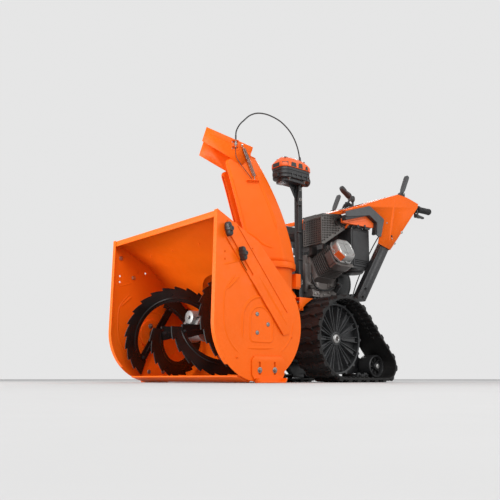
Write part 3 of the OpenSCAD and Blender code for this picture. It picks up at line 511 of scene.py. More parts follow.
def piece(name, geo, mat, body="root", stands_for=(), bevel=0.0, segments=2, angle=32, sheet=0.0,
        inside=None, fold=0.0, slot=None):
    """Make one mesh piece that rides on a body, and stands for the CAD nodes that it takes the place of.

    bevel softens its edges, sheet gives an open skin a thickness, and fold rounds the sheet's bends first.
    inside is a point on the inner side of an open skin.
    """
    me = bpy.data.meshes.new(name)
    me.from_pydata([d(p) for p in geo.v], [], geo.f)
    bm = bmesh.new()
    bm.from_mesh(me)
    bmesh.ops.remove_doubles(bm, verts=bm.verts, dist=2e-5)
    bmesh.ops.dissolve_degenerate(bm, edges=bm.edges, dist=1e-6)
    bmesh.ops.recalc_face_normals(bm, faces=bm.faces)
    if inside is not None:
        c = d(inside)
        if sum(x.normal.dot(x.calc_center_median() - c) * x.calc_area() for x in bm.faces) < 0:
            bmesh.ops.reverse_faces(bm, faces=bm.faces)
    bm.to_mesh(me)
    bm.free()
    me.polygons.foreach_set("use_smooth", [True] * len(me.polygons))
    me.materials.append(M[mat] if isinstance(mat, str) else mat)
    o = bpy.data.objects.new(name, me)
    bpy.context.scene.collection.objects.link(o)
    if fold:
        b = o.modifiers.new("fold", "BEVEL")
        b.width, b.segments, b.limit_method, b.angle_limit = fold / 1000, 4, "ANGLE", rad(15)
        b.use_clamp_overlap = False
    if sheet:
        s = o.modifiers.new("sheet", "SOLIDIFY")
        s.thickness, s.offset = sheet / 1000, -1
        s.use_even_offset = True
    if bevel:
        soften(o, bevel, segments, angle)
    else:
        me.set_sharp_from_angle(angle=rad(angle))
    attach(o, body)
    if stands_for:
        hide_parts(*([stands_for] if isinstance(stands_for, str) else stands_for))
    return o


def bend(o):
    """Take a piece off its body and bake its place into its mesh."""
    o.parent = None
    del o["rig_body"]
    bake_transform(o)


def keep(node, mat, bevel):
    """A CAD node that stays, with a finished material and softened edges."""
    o = nodes[node]
    o.data.materials.clear()
    o.data.materials.append(M[mat])
    o.data.polygons.foreach_set("use_smooth", [True] * len(o.data.polygons))
    w = o.modifiers.new("weld", "WELD")
    w.merge_threshold = 0.00002
    if bevel:
        soften(o, bevel, 2, 35)


def both(name, geo, mat, bodies=("root", "root"), stands_for=(None, None), **kw):
    """The piece on the operator's left and its mirror image on the right; one stem names both of a pair."""
    bodies, stands_for = [(x + "_left", x + "_right") if isinstance(x, str) else x
        for x in (bodies, stands_for)]
    piece(name + "_left", geo, mat, bodies[0], stands_for[0] or (), **kw)
    piece(name + "_right", geo.mirror(), mat, bodies[1], stands_for[1] or (), **kw)


# ---- CAD nodes that keep their shape -----------------------------------------
for n, mat, edge in [
    ("auger_housing", "orange", 0.6), ("scraper_bar", "orange", 0.8),
    ("skid_shoes", "orange", 1.2), ("gear_case", "cast", 2.0), ("impeller_housing", "orange", 0.6),
    ("chassis", "black", 1.5), ("belt_cover", "plastic", 3.0), ("drive_belt", "rubber", 0.0),
    ("engine_block", "engine", 3.0), ("muffler", "heat", 4.0), ("blower_housing", "plastic", 2.0),
    ("dash_panel", "orange", 0.6), ("handle_tubes", "black", 2.5), ("tower_post", "black", 2.0),
    ("auger_shaft", "auger", 1.0), ("shear_bolts", "steel", 0.6), ("impeller", "auger", 1.0),
    ("impeller_shaft", "steel", 0.8), ("engine_pulley", "steel", 0.8), ("track_frame_left", "black", 1.5),
    ("track_frame_right", "black", 1.5),
]:
    keep(n, mat, edge)

# ---- bucket ------------------------------------------------------------------
PLATE = 355.5  # outer face of a side plate
R = 203  # radius of the bucket's round back
AY, AZ = 192, 206  # the auger's axis
side = [(0, 588)] + [(AY + R * cos(rad(a)), AZ + R * sin(rad(a)))
    for a in range(180, 406, 3)] + [(188, 497)]
knob_places = ((36, 519), (99, 442))
plate_holes = [hole(c, 4.05, 20) for c in (*knob_places, (34, 443), (34, 418), (123, 467), (158, 467))]
skin = plate("X", side, PLATE - 3, PLATE, plate_holes)
carrier = [(17.2, 336.5), (58.5, 336.5), (60, 338), (60, PLATE - 3)]
skin += lathe("X", (0, AY, AZ), carrier + [(17.2, PLATE - 3), (17.2, 336.5)], 72)


def rail(m):
    """Front edge of the side plate, moved inwards by m, as the lip's far edge."""
    return [Vector((PLATE - 19, *q)) for q in inset(side, m) if q[0] < 120 and q[1] > 60][::-1]


inward, outward = rail(3.2), rail(0.3)
k = len(inward)
low_rail = [Vector((PLATE - 2.8, p.y, p.z)) for p in inward]
high_rail = [Vector((PLATE - 2.8, p.y, p.z)) for p in outward]
v = inward + outward + high_rail + low_rail
f = [(a * k + i, a * k + i + 1, (a + 1) % 4 * k + i + 1, (a + 1) % 4 * k + i) for a in range(4)
    for i in range(k - 1)]
f += [(0, k, 2 * k, 3 * k), (k - 1, 4 * k - 1, 3 * k - 1, 2 * k - 1)]
both("side_plate", skin + Geo(v, f), "orange", stands_for=("side_plates", None), angle=30)
arch = spline([(0, 112, 150), (0, 112, 205), (0, 119, 250), (0, 150, 287), (0, 196, 301), (0, 243, 288),
    (0, 272, 255)], 5)
inner = [(0, *p) for p in rounded([(147, 143), (147, 240), (168, 262), (200, 268), (232, 252), (251, 224),
    (251, 143)], 16, 3)]
ridges = [
    (arch, False, 13, 3.0), (inner, True, 11, 2.6),
    (spline([(0, 131, 120), (0, 190, 120), (0, 257, 122)], 4), False, 11, 2.4),
    (spline([(0, 41, 314), (0, 69, 339), (0, 97, 364)], 5), False, 13, 3.0),
    (spline([(0, 84, 372), (0, 44, 326), (0, 32, 290), (0, 32, 211), (0, 42, 168), (0, 64, 130),
        (0, 97, 101)], 5), False, 9, 1.8),
    (spline([(0, 358, 232), (0, 352, 190), (0, 335, 152), (0, 312, 126), (0, 290, 109)], 4), False, 9, 1.8),
    (spline([(0, 26, 398), (0, 60, 408), (0, 92, 418)], 4), False, 8, 1.6),
]
press = Geo()
for path, closed, w, h in ridges:
    for x, side, high in ((PLATE, 1, h), (PLATE - 3, -1, h * 0.8)):
        press += ridge([Vector(p) + Vector((x, 0, 0)) for p in path], (side, 0, 0), w, high, closed)
both("plate_embossing", press, "orange", angle=60)

bolts = Geo()
for y in (186, 257):
    bolts += nut("X", (PLATE + 5.3, y, 44), 6.5, 5) + screw("X", (352.5, y, 44), 9, -1)
for y, z in ((179, 239), (230, 205), (179, 174)):
    bolts += screw("X", (PLATE, y, z), 8) + nut("X", (336.5, y, z), 7, 6, -1)
small = Geo()
for y, z in ((345, 164), (87, 86)):
    small += screw("X", (PLATE, y, z), 4.5)
both("plate_bolts", bolts, "bolt", stands_for=("housing_bolts", None), bevel=0.3)
both("plate_screws", small, "orange", bevel=0.2)

# hem and stiffening flange of the bucket's top sheet
hem = prism("X", [(3.2, 585), (3.2, 567), (5.2, 567), (5.2, 582.5), (14, 580.5), (14, 582.8)], -351, 351)
hem += sweep([(-350, 5.5, 566), (350, 5.5, 566)], 2.6, 12)
piece("bucket_hem", hem, "orange", bevel=0.6)
roof = many(ridge([(x0, 70, 555), (x1, 70, 555)], (0, -0.44, -0.9), 12, 2.4)
    for x0, x1 in ((-300, -30), (30, 300)))
piece("bucket_roof_ridges", roof, "orange", angle=60)
screws = many(nut("Z", (x, 120, 528), 4.2, 3, -1) for x in (-250, -90, 90, 250))
piece("bucket_roof_nuts", screws, "orange", bevel=0.3)

# drift cutters' folded tabs beside the notches
xyz_to_yzx = Matrix(((0, 0, 1, 0), (1, 0, 0, 0), (0, 1, 0, 0), (0, 0, 0, 1)))
cutter_at = move(PLATE, *knob_places[0]) @ xyz_to_yzx @ mat4("Z", -50.7)


def tab(x, length, top):
    """Folded edge between two notches of the cutter."""
    g = prism("Z", [(x, -17.5), (x + length, -17.5), (x + length - 6, -6), (x + 4, -6)], 4.0, top)
    return g.at(cutter_at)


tabs = many(tab(*t) for t in ((110, 52, 5.2), (216, 56, 8.5), (284, 148, 8.5)))
for places, w, h in (((206, 240, 290, 340, 390, 420), 15, 2.6), ((6, -4, -10), 9, 1.6)):
    tabs += ridge([cutter_at @ Vector((x, 24, 4.3)) for x in places], (1, 0, 0), w, h)
both("cutter_folds", tabs, "orange", "cutter", bevel=0.8)
KNOB_GAP, TRAVEL = math.dist(*knob_places), 85  # between a cutter's two knobs, and its slide
blade = plate("Z", rounded([(8, -16), (-24, 31), (8, 55), (395, 55), (452, 12), (440, -16)][::-1], 4), 0.3,
    4.3, [slot_hole((x, 0), (x + TRAVEL, 0), 4.6) for x in (0, KNOB_GAP)])
blade += prism("X", [(51, 0.5), (54.7, 0.5), (54.7, 7.2), (51, 7.2)], 16, 386)
for top, x0, x1 in ((5.2, 12, 213), (7.2, 212.8, 432)):
    blade += prism("X", [(-15.7, 0.5), (-12, 0.5), (-12, top), (-15.7, top)], x0, x1)
both("cutter_blade", blade.at(cutter_at), "orange", "cutter", "drift_cutter", angle=30)


def lobed(n, r0, r1, power, points=72, start=0.0):
    """Outline with n wings."""
    turns = [2 * pi * k / points for k in range(points)]
    radii = [r0 + (r1 - r0) * (0.5 + 0.5 * cos(n * a)) ** power for a in turns]
    return [(r * cos(a + start), r * sin(a + start)) for a, r in zip(turns, radii)]


def wing_knob(y, z):
    """Wing knob that clamps a cutter."""
    layers = [(361.0, 0.55), (361.0, 0.86), (362.5, 0.97), (366, 1.0), (381, 0.97), (384.5, 0.9),
        (386, 0.72)]
    wings = lobed(2, 9.5, 25.2, 3.2, 72, rad(104))
    hub = [(9.5, 385), (9.5, 389), (8, 391.5), (5, 392.5), (3.5, 392.5), (3.5, 390.5), (0.01, 390.5)]
    wings = loft([[(x, y + a * k, z + b * k) for a, b in wings] for x, k in layers])
    return wings + lathe("X", (0, y, z), hub, 32)


def stud(y, z):
    """Knob's screw with its collar, through the side plate."""
    return rod("X", (0, y, z), 4, 347, 362, 20) + rod("X", (0, y, z), 9, 348.2, 352.3, 32)


for label, (y, z) in zip(("upper", "lower"), knob_places):
    both(f"knob_{label}", wing_knob(y, z), "plastic", f"knob_{label}", f"wing_knob_{label}", angle=40)
    both(f"knob_stud_{label}", stud(y, z), "steel", f"knob_{label}", angle=40)

# ---- auger -------------------------------------------------------------------
TEETH, SWEEP = 16, 250  # saw teeth and degrees of turn of one band


def ribbon(s, start):
    """Smooth helical band with saw teeth along its outer edge."""
    def at(a, r, t):
        return s * (62 + 260 * (a - start) / SWEEP) + t, AY + r * cos(rad(a)), AZ + r * sin(rad(a))
    section = ((122.6, -2.8), (172, -2.8), (172.6, -2.2), (172.6, 2.2), (172, 2.8), (122.6, 2.8),
        (122, 2.2), (122, -2.2))
    g = loft([[at(start + SWEEP * k / 100, r, t) for r, t in section] for k in range(101)])
    for t in range(TEETH):
        a0, a1 = start + SWEEP * t / TEETH, start + SWEEP * (t + 1) / TEETH - 0.1
        rim = [(a0 + (a1 - a0) * k / 3, 174.5 + 11.4 * k / 3) for k in range(4)]
        loop = rim + [(a1 - (a1 - a0) * k / 3, 170) for k in range(4)]
        v = [at(a, r, side * 2.6) for side in (-1, 1) for a, r in loop]
        f = [(i, i + 1, 6 - i, 7 - i) for i in range(3)] + [(8 + i, 15 - i, 14 - i, 9 + i)
            for i in range(3)]
        g += Geo(v, f + [(i, (i + 1) % 8, 8 + (i + 1) % 8, 8 + i) for i in range(8)])
    # rolled stiffening bead near the inner edge, on both faces
    for side in (-1, 1):
        path = []
        for k in range(60):
            a = start + 6 + 238 * k / 59
            path.append(at(a, 136, side * 2.9))
        g += ridge(path, (side, 0, 0), 9, 1.8)
    return g


def arm(x, a, wide=15):
    """Flat arm from the auger's shaft to its bands."""
    r = 131
    m = move(x, AY, AZ) @ mat4("X", a)
    g = prism("X", rounded([(21, -15), (r - 14, -wide), (r, -wide), (r, wide), (r - 14, wide), (21, 15)],
        5), -4, 4).at(m)
    g += ridge([m @ Vector((4, y, 0)) for y in (32, 50, 80, 104)], (1, 0, 0), 10, 2.0)
    return g


flights, studs = Geo(), Geo()
for s in (1, -1):
    for h in (0, 180):
        flights += ribbon(s, h) + arm(s * 69, h + 8, wide=27) + arm(s * 309, h + 238)
        for x, a in ((s * 69, h + 8), (s * 309, h + 238)):
            for side in (-1, 1):
                studs += nut("X", (4 * side, 122, 0), 5.5, 4, side).at(move(x, AY, AZ) @ mat4("X", a))
piece("auger_ribbons", flights, "auger", "auger", "auger_flights", angle=38)
piece("auger_nuts", studs, "black", "auger", bevel=0.3)
case = Geo()
for k in range(6):
    a = rad(60 * k + 30)
    for x, side in ((-48, -1), (48, 1)):
        case += nut("X", (x, AY + 46 * cos(a) * 0.86, AZ + 46 * sin(a) * 0.86), 4.5, 4, side, False)
case += nut("Y", (0, 138.5, 250), 8, 4, -1, False)
case += lathe("Z", (0, AY + 8, 0), [(9, 249), (9, 254), (7, 256), (0.01, 256)], 24)
piece("gear_case_bolts", case, "steel", bevel=0.3)

# ---- chute and deflector -----------------------------------------------------
FOOT = (95, 490, 0)  # foot of the chute's axis
at_chute = move(*FOOT) @ mat4("Z", -32.4)


def C(s, n, z):
    """Chute place: s ahead of its axis, n towards the operator's left, z up."""
    return at_chute @ Vector((n, -s, z))


def back_s(z):
    """Line of the chute's back wall."""
    t = (z - 475) / 475
    return -95 + 63 * t + 117 * t * t


FRONT = [(484, 98.4), (600, 128.9), (886, 204.5), (894, 202), (899, 197), (901, 190), (918.5, 154),
    (936, 118), (947, 84)]


def front_s(z):
    """Line of the chute's front edges."""
    for (z0, s0), (z1, s1) in zip(FRONT, FRONT[1:]):
        if z <= z1:
            return s0 + (s1 - s0) * max(0, z - z0) / (z1 - z0)
    return FRONT[-1][1]


def chute_section(z):
    """Open outline of the chute's sheet at height z, from one front edge round the back to the other."""
    b, e, hw, flat = back_s(z), front_s(z), 85, 25
    half = [(b, 0), (b, flat * 0.5), (b, flat)]
    reach = min(60, e - b)
    half[-1] = (b, flat - 5)
    half += [(b + 0.6, flat - 1.4), (b + 3.4, flat + 2.6)]
    half += [(b + reach * t, flat + (hw - flat) * reach / 60 * t) for t in (0.25, 0.6)]
    if reach == 60 and e - b > 75:
        half += [(b + 56.2, hw - 3.2), (b + 58.6, hw - 1.3), (b + 62, hw - 0.3), (b + 66, hw)]
    else:
        half += [(b + reach * t, flat + (hw - flat) * reach / 60 * t) for t in (0.8, 0.9, 0.96, 1.0)]
    first, top = half[-1]
    last = max(e, first)
    half += [(first + (last - first) * k / 6, top) for k in range(1, 7)]
    return [(s, -n) for s, n in half[:0:-1]] + half


zs = [484 + 402 * k / 22 for k in range(23)] + [890, 894, 897.5, 900.5, 906, 912, 918.5, 925, 931]
rows = [chute_section(z) for z in zs]
v = [C(s, n, z) for z, row in zip(zs, rows) for s, n in row]
w = len(rows[0])
f = [(j * w + i, j * w + i + 1, (j + 1) * w + i + 1, (j + 1) * w + i) for j in range(len(rows) - 1)
    for i in range(w - 1)]
piece("chute_shell", Geo(v, f), "orange", "chute", "chute", sheet=3, inside=C(60, 0, 700), angle=50)
top_edge = sweep([C(s - 1.5, n, 931) for s, n in rows[-1][3:-3]], 1.5, 10)
piece("chute_top_hem", top_edge, "orange", "chute", angle=60)

foot = lathe("Z", FOOT, [(84.5, 465.4), (99, 465.4), (99, 468), (99, 482), (96.5, 484.4), (81.2, 484.4),
    (81.2, 478.6), (84.5, 478.6), (84.5, 465.4)], 96)
piece("chute_foot", foot, "orange", "chute", bevel=0.8)
arc = [(81.2 * cos(a), 81.2 * sin(a)) for a in [pi * k / 24 for k in range(25)]]
pts = [(85, 0.5), *[(x, y) for x, y in rounded([(85, 40), (85, 99), (-85, 99), (-85, 40)], 14)], (-85, 0.5)]
n_out, n_in = len(pts), len(arc)
v = [C(y, x, z) for z in (481.0, 484.2) for x, y in pts + arc]
n = n_out + n_in
f = [tuple(list(range(n_out)) + [n_out + n_in - 1 - k for k in range(n_in)])]
f += [tuple(n + i for i in f[0])]
ring = list(f[0])
f += [(ring[i], ring[(i + 1) % n], n + ring[(i + 1) % n], n + ring[i]) for i in range(n)]
piece("chute_foot_plate", Geo(v, f), "orange", "chute", bevel=0.6)
apron = []
for z, s in ((481, 97), (540, 112.5)):
    apron += [C(s, -83, z), C(s + 3, -83, z), C(s + 3, 83, z), C(s, 83, z)]
skirt = Geo(apron, [(0, 1, 2, 3), (7, 6, 5, 4), (0, 4, 5, 1), (1, 5, 6, 2), (2, 6, 7, 3), (3, 7, 4, 0)])
skirt += sweep([C(114, -84, 541), C(114, 84, 541)], 3.2, 12)
piece("chute_apron", skirt, "orange", "chute", bevel=0.7)

marks = Geo()
for side in (1, -1):
    def on(s, z):
        return C(s, side * 85, z)
    normal = C(0, side, 0) - C(0, 0, 0)
    foot_line = spline([on(124, 606), on(98, 592), on(72, 574), on(56, 558), on(36, 547), on(8, 538)], 5)
    edge_line = spline([on(179, 822), on(170, 790), on(152, 722), on(131, 640)], 6)
    back_line = spline([on(78, 846), on(50, 780), on(14, 690), on(-8, 622)], 6)
    for line, w, h in ((foot_line, 10, 2.4), (edge_line, 9, 2.2), (back_line, 8, 0.9)):
        marks += ridge(line, normal, w, h)
    marks += hose([C(s - 2, side * 82.8, z) for s, z in ((204, 880), (190, 832), (168, 748), (145.5, 662),
        (128, 596), (104, 506))], 4, 2.6, 10)
piece("chute_embossing", marks, "orange", "chute", angle=60)
bracket = block(86.5, 100.5, 68, 118, 812, 815.2) + block(85, 88, 72, 114, 806, 815.2)
bracket = Geo([C(p.y, p.x, p.z) for p in bracket.v], bracket.f)
piece("spring_bracket", bracket, "orange", "chute", bevel=0.6)

side_pts = [(283, 1033), (235.3, 1014), (187.5, 995), (139.8, 976), (92, 957), (95, 943), (100, 930),
    (105, 917), (112, 906), (120, 896), (130, 886), (138, 880), (146, 881), (188, 909), (244, 940),
    (301, 972)]
v = [C(s, n, z) for n in (88.6, -88.6) for s, z in side_pts]
k = len(side_pts)
f = [tuple(range(k)), tuple(range(k, 2 * k))[::-1]] + [(i, i + 1, k + i + 1, k + i) for i in range(4)]
piece("deflector_shell", Geo(v, f), "orange", "deflector", "deflector", sheet=3, inside=C(190, 0, 950),
    fold=4, angle=40)


def hinge_at(side, out):
    """Place on the deflector's hinge axis, out from the chute's middle, facing outwards."""
    return at_chute @ move(side * out, -112, 922) @ (Matrix.Identity(4) if side > 0 else mat4("Z", 180))


trim = Geo()
for side in (1, -1):
    normal = C(0, side, 0) - C(0, 0, 0)
    trim += ridge([C(s, side * 88.6, z) for s, z in ((270, 1004), (230, 988), (190, 972), (150, 957),
        (120, 945))], normal, 9, 2.0)
    boss = lathe("X", (0, 0, 0), [(11, 0), (11, 1.2), (9, 2), (5, 2)], 28)
    trim += boss.at(hinge_at(side, 88.4))
piece("deflector_embossing", trim, "orange", "deflector", angle=50)
pins = Geo()
for side in (1, -1):
    pin = nut("X", (0, 0, 0), 6, 4, 1, False) + rod("X", (0, 0, 0), 5, -12, 1, 20)
    pins += pin.at(hinge_at(side, 89.8))
piece("deflector_pins", pins, "orange", "deflector", bevel=0.3)

# bracket of the cable: a folded plate with the sheath's end fitting
clip = prism("X", rect(-182, 940, -150, 982, 5), 88.6, 91.2)
clip += block(88.6, 102, -180, -154, 976, 978.6) + block(88.6, 102, -180, -154, 951, 953.6)
piece("cable_bracket", clip.at(at_chute), "orange", "deflector", bevel=0.5)
piece("cable_bracket_screws", many(screw("X", (91.2, -176.5, z), 3, 1) for z in (946, 972)).at(at_chute),
    "steel", "deflector", angle=40)

# return spring: coil with a hook at each end, from the deflector's pin to the chute's bracket
top, low = C(137, 98, 960), C(82, 97, 817)
along = (low - top).normalized()
side_v = (C(0, 1, 0) - C(0, 0, 0)).normalized()
other = along.cross(side_v)
start, stop, turns = top + along * 16, top + along * 138, 28
coil = [start + (stop - start) * (k / (turns * 14)) + side_v * 6.0 * cos(2 * pi * k / 14)
    + other * 6.0 * sin(2 * pi * k / 14) for k in range(turns * 14 + 1)]
hook_top = spline([top - along * 4.5, top + other * 4.6 - along * 1, top + other * 3 + along * 7, coil[0]],
    5)
hook_low = spline([coil[-1], low + other * 3 - along * 5, low + other * 4.2 + along * 1, low + along * 4.5],
    5)
bend(piece("return_spring", sweep(hook_top[:-1] + coil + hook_low[1:], 1.5, 8), "spring", "root",
    "deflector_spring", angle=60))
anchor = rod("X", (0, 0, 0), 3, 85, 102, 20).at(at_chute @ move(0, -137, 960))
piece("spring_pin", anchor, "steel", "deflector", angle=40)

# cable of the deflector, from the tower head over to its bracket
route = [(88, 300, 981), (88, 301, 1010), (88, 305, 1024), (89, 314, 1042), (89, 326, 1058),
    (89, 343, 1075), (90, 371, 1102), (91, 404, 1121), (92, 438, 1130.5), (93, 475, 1133.5),
    (94, 510, 1130.5), (95, 543, 1123), (95, 573, 1110), (95, 601, 1092), (95, 624, 1069), (95, 642, 1041),
    (95, 654, 1011), (95, 660, 981), (95, 662, 948)]
front_half = piece("cable_front", sweep(spline(route[:11], 6), 2.9, 14), "cable", "root", "deflector_cable",
    angle=70)
rear_half = piece("cable_rear", sweep(spline(route[10:], 6), 2.9, 14), "cable", "root", angle=70)
bend(front_half)
bend(rear_half)
inner_wire = hose([(88, 299, 962), C(160, 97, 905), C(112, 95, 838), C(96, 94, 818)], 8, 1.3, 8)
bend(piece("cable_inner", inner_wire, "cable", "root", angle=60))
ferrule = lathe("Z", (88, 300, 0), [(3.4, 982), (4.6, 980), (4.6, 966), (6.2, 966), (6.2, 958), (4, 956),
    (4, 948), (1.6, 946)], 24)
piece("cable_ferrule", ferrule, "bolt", "deflector", angle=40)
sleeve = lathe("Z", (88, 300, 0), [(2.5, 981), (3.7, 981.4), (3.7, 985), (3.3, 986), (3.3, 996), (3.7, 997),
    (3.7, 999), (3.2, 999.6), (2.5, 999.6)], 24)
piece("cable_sleeve", sleeve, "plastic", "deflector", angle=50)
boot = lathe("Z", (95, 662, 0), [(9, 955), (9, 962), (7.5, 963), (7.5, 968), (6.2, 969), (6.2, 974),
    (5, 975), (5, 982), (3.2, 988)], 28)
piece("cable_boot", boot, "plastic", angle=50)

# ---- tower -------------------------------------------------------------------
NX = 95  # middle of the tower across the machine


def head_plan(m):
    """Outline of the tower head seen from above, moved inwards by m."""
    pts = [(-28 + m, 520 + m), (28 - m, 520 + m), (50 - m, 546 + m), (50 - m, 668 - m), (34 - m, 690 - m),
        (-34 + m, 690 - m), (-50 + m, 668 - m), (-50 + m, 546 + m)]
    return [(NX + x, y) for x, y in rounded(pts, 12, 4)]


def stack(levels):
    """Tower head casing from levels of height and inset."""
    return loft([[(x, y, z) for x, y in head_plan(m)] for z, m in levels])


body = stack([(852.2, 15), (853, 14), (864, 13), (864.5, 3), (866, 1), (876, 1), (877, 3.5), (880, 3.5),
    (881, 0), (893, 0), (894, 2.5), (897, 2.5), (898, 0.5), (908.5, 0.5), (910, 2)])
body += lathe("Y", (NX, 0, 880), [(22, 688), (22, 698), (20, 700), (20, 708), (17.5, 710), (9, 710),
    (9, 707.5), (0.01, 707.5)], 40)
for x in (-50, 50):
    for y in (566, 596, 626, 656):
        body += block(NX + x - 1.2, NX + x + 1.2, y - 3, y + 3, 866, 892)
body += block(NX - 14, NX + 14, 512.5, 524, 868, 884) + block(NX - 50, NX - 44, 596, 640, 893, 909)
piece("tower_head_shell", body, "plastic", stands_for="tower_head", bevel=0.8)
cap = stack([(910.3, -1.6), (911, -2), (922, -2), (930, -1), (938, 4), (945, 9), (951, 14), (956, 20),
    (960, 25), (962.6, 29), (963.6, 33)])
piece("tower_cap", cap, "orange_plastic", stands_for="tower_cover", bevel=0.6, angle=40)
panes = Geo()
for side in (-1, 1):
    for y0, y1, z1 in ((556, 590, 931), (600, 628, 934), (642, 660, 929)):
        panes += prism("X", rounded([(y0, 912), (y1, 912), (y1 - 4, z1), (y0 + 5, z1)], 3),
            NX + side * 50.6, NX + side * 52.9)
    panes += prism("Z", rounded([(NX + side * 33, 523), (NX + side * 49.8, 543), (NX + side * 47, 546),
        (NX + side * 30, 526)], 1), 912, 930)
panes += block(NX - 20, NX + 20, 517.6, 522, 912, 929)
panes += block(NX - 18, NX + 18, 689, 692.6, 912, 930)
panes += prism("Z", rect(NX - 16, 560, NX + 16, 612, 5), 962, 964.2)
piece("tower_windows", panes, "plastic", bevel=0.6)
cap_screws = many(screw("Z", (NX + x, y, 955.5), 4) for x, y in ((-24, 548), (24, 548), (-25, 662),
    (25, 662)))
piece("tower_screws", cap_screws, "plastic_gray", angle=40)
piece("head_bolts", many(nut("Z", (NX + x, y, 864.4), 5, 4, -1)
    for x, y in ((-36, 560), (36, 560), (-36, 650), (36, 650))), "steel", bevel=0.3)
bezel = prism("Z", rect(NX - 20, 534, NX + 20, 564, 5), 846, 852.2)
piece("lamp_housing", bezel, "plastic", stands_for="headlamp", bevel=0.8)
piece("lamp_glass", prism("Z", rect(NX - 17, 531.2, NX + 17, 562, 4), 842.2, 846.2), "lens", bevel=1.0,
    slot="lamp_lens")
piece("lamp_leds", many(lathe("Z", (NX + x, 548, 0), [(3, 844.2), (5, 846.3), (0.01, 846.4)], 20)
    for x in (-10, 0, 10)), "glow", angle=40)
post = Geo()
for z in (420, 430, 790, 836):
    post += nut("X", (NX + 12.5, 650, z), 5, 4)
post += nut("Y", (NX + 30, 579.5, 434), 5.5, 4, -1) + nut("Y", (NX + 46, 579.5, 406), 5.5, 4, -1)
piece("post_bolts", post, "bolt", bevel=0.3)
piece("post_gusset", prism("X", rounded([(590, 853), (640, 853), (640, 775)], 5, 3), 93.5, 97), "black",
    bevel=0.5)
lead = spline([(118, 640, 872), (120, 636, 850), (111, 634, 800), (109, 636, 700), (109, 636, 560),
    (110, 636, 470), (118, 640, 430)], 8)
piece("tower_lead", sweep(lead, 2.6, 10), "cable", angle=60)
piece("lead_ties", many(lathe("Z", (106, 643, 0), [(11.5, z), (12.4, z + 1), (12.4, z + 4), (11.5, z + 5)],
    24) for z in (520, 640, 760)), "plastic", angle=50)

# ---- engine ------------------------------------------------------------------
# frame of the cylinder: X along it from the crankshaft's line
at_cyl = move(0, 790, 450) @ mat4("Y", -26.6) @ move(26, 0, 0)
fins = Geo()
for k in range(11):
    x, grow = 93 + k * 10, 0 if k < 7 else 3
    out = [(-56 + grow, -56), (58 - grow, -56), (62 - grow, -20), (62 - grow, 32), (50, 46), (-50, 46),
        (-58 + grow, 32), (-58 + grow, -20)]
    fins += prism("X", rounded(out, 12, 3), x, x + 2.6)
fins += prism("X", rect(-40, -38, 40, 34, 14), 91, 206)
fins += lathe("X", (0, -34, 34), [(8, 96), (8, 200)], 20) + lathe("X", (0, 34, 34), [(8, 96), (8, 200)], 20)
# shroud band below the head, with its lugs
band = rounded([(-57, -60), (-30, -66), (36, -66), (58, -58), (58, -46), (34, -52), (-28, -52), (-57, -46)],
    6, 3)
fins += prism("X", band, 168, 204) + prism("X", rect(-62, -50, -52, 10, 4), 172, 204)
piece("cylinder_fins", fins.at(at_cyl), "engine", stands_for="cylinder", bevel=0.5)
plug = lathe("Y", (190, 0, 0), [(9, 40), (9, 52), (11, 54), (11, 66), (8, 68), (0.01, 68)], 24).at(at_cyl)
piece("spark_plug_cap", plug, "plastic", angle=40)
start = at_cyl @ Vector((190, 64, 0))
piece("spark_lead", hose([start, start + Vector((-8, 10, 4)), Vector((150, 872, 560)),
    Vector((108, 884, 574)), Vector((66, 905, 566))], 9, 3.4, 12), "cable", angle=60)

OCT = [(-54, -30), (-34, -54), (34, -54), (54, -30), (54, 30), (34, 54), (-34, 54), (-54, 30)]


def cover_levels(levels):
    """Rocker cover from levels of place along the cylinder and scale."""
    return loft([[(x, y * k, z * k) for y, z in rounded(OCT, 10)] for x, k in levels])


cover = cover_levels([(206, 1.0), (213, 1.0), (214, 0.93), (236, 0.9), (243, 0.86), (247, 0.78),
    (247.6, 0.72), (245.2, 0.68), (245.2, 0.1)])
cover += prism("X", rect(-3, -30, 3, 30, 2), 245, 247.5)
cover += many(prism("X", rect(-22, z - 1.6, 22, z + 1.6, 1.4), 245, 247) for z in (-22, 24))
for y, z in ((-46, 0), (46, 0), (0, -46), (0, 46)):
    cover += lathe("X", (0, y, z), [(8.5, 206), (8.5, 219), (7, 220), (0.01, 220)], 24)
piece("rocker_cover", cover.at(at_cyl), "alloy", stands_for="valve_cover", bevel=0.7)
badge = prism("X", rect(-20, -2, 20, 2, 2), -14, 17)
badge = badge.at(move(226, -42.5, -34) @ mat4("X", -50))
piece("cover_badge", badge.at(at_cyl), "badge", bevel=0.5)
heads = many(nut("X", (220, y, z), 5, 5, 1, False) for y, z in ((-46, 0), (46, 0), (0, -46), (0, 46)))
piece("cover_bolts", heads.at(at_cyl), "steel", bevel=0.3)
piece("cover_joint", cover_levels([(203.8, 0.98), (206.2, 0.98)]).at(at_cyl), "plastic", angle=40)

# crankcase details on the operator's left: ribs, bosses, drain plug, dipstick and the starter's bracket
extra = lathe("X", (0, 800, 430), [(52, 84), (52, 92), (48, 97), (30, 99), (30, 95), (0.01, 95)], 48)
for k in range(8):
    a = rad(45 * k)
    extra += lathe("X", (0, 800 + 47 * cos(a), 430 + 47 * sin(a)),
        [(6, 84), (6, 99), (5, 100), (0.01, 100)], 20)
for k in range(5):
    extra += prism("Y", rect(84, 392 + k * 7, 118 - k * 5, 395 + k * 7, 1), 712, 770)
extra += block(84, 128, 700, 742, 366, 392) + block(96, 120, 706, 736, 391, 400)
extra += lathe("X", (0, 760, 372), [(15, 98), (15, 112), (13, 114), (9, 114), (9, 122), (0.01, 122)], 28)
piece("crankcase_details", extra, "engine", bevel=1.0)
rosette = [(98.5, 800 + 47 * cos(rad(45 * k)), 430 + 47 * sin(rad(45 * k))) for k in range(8)]
rosette += [(127.5, 712, 379), (127.5, 732, 379)]
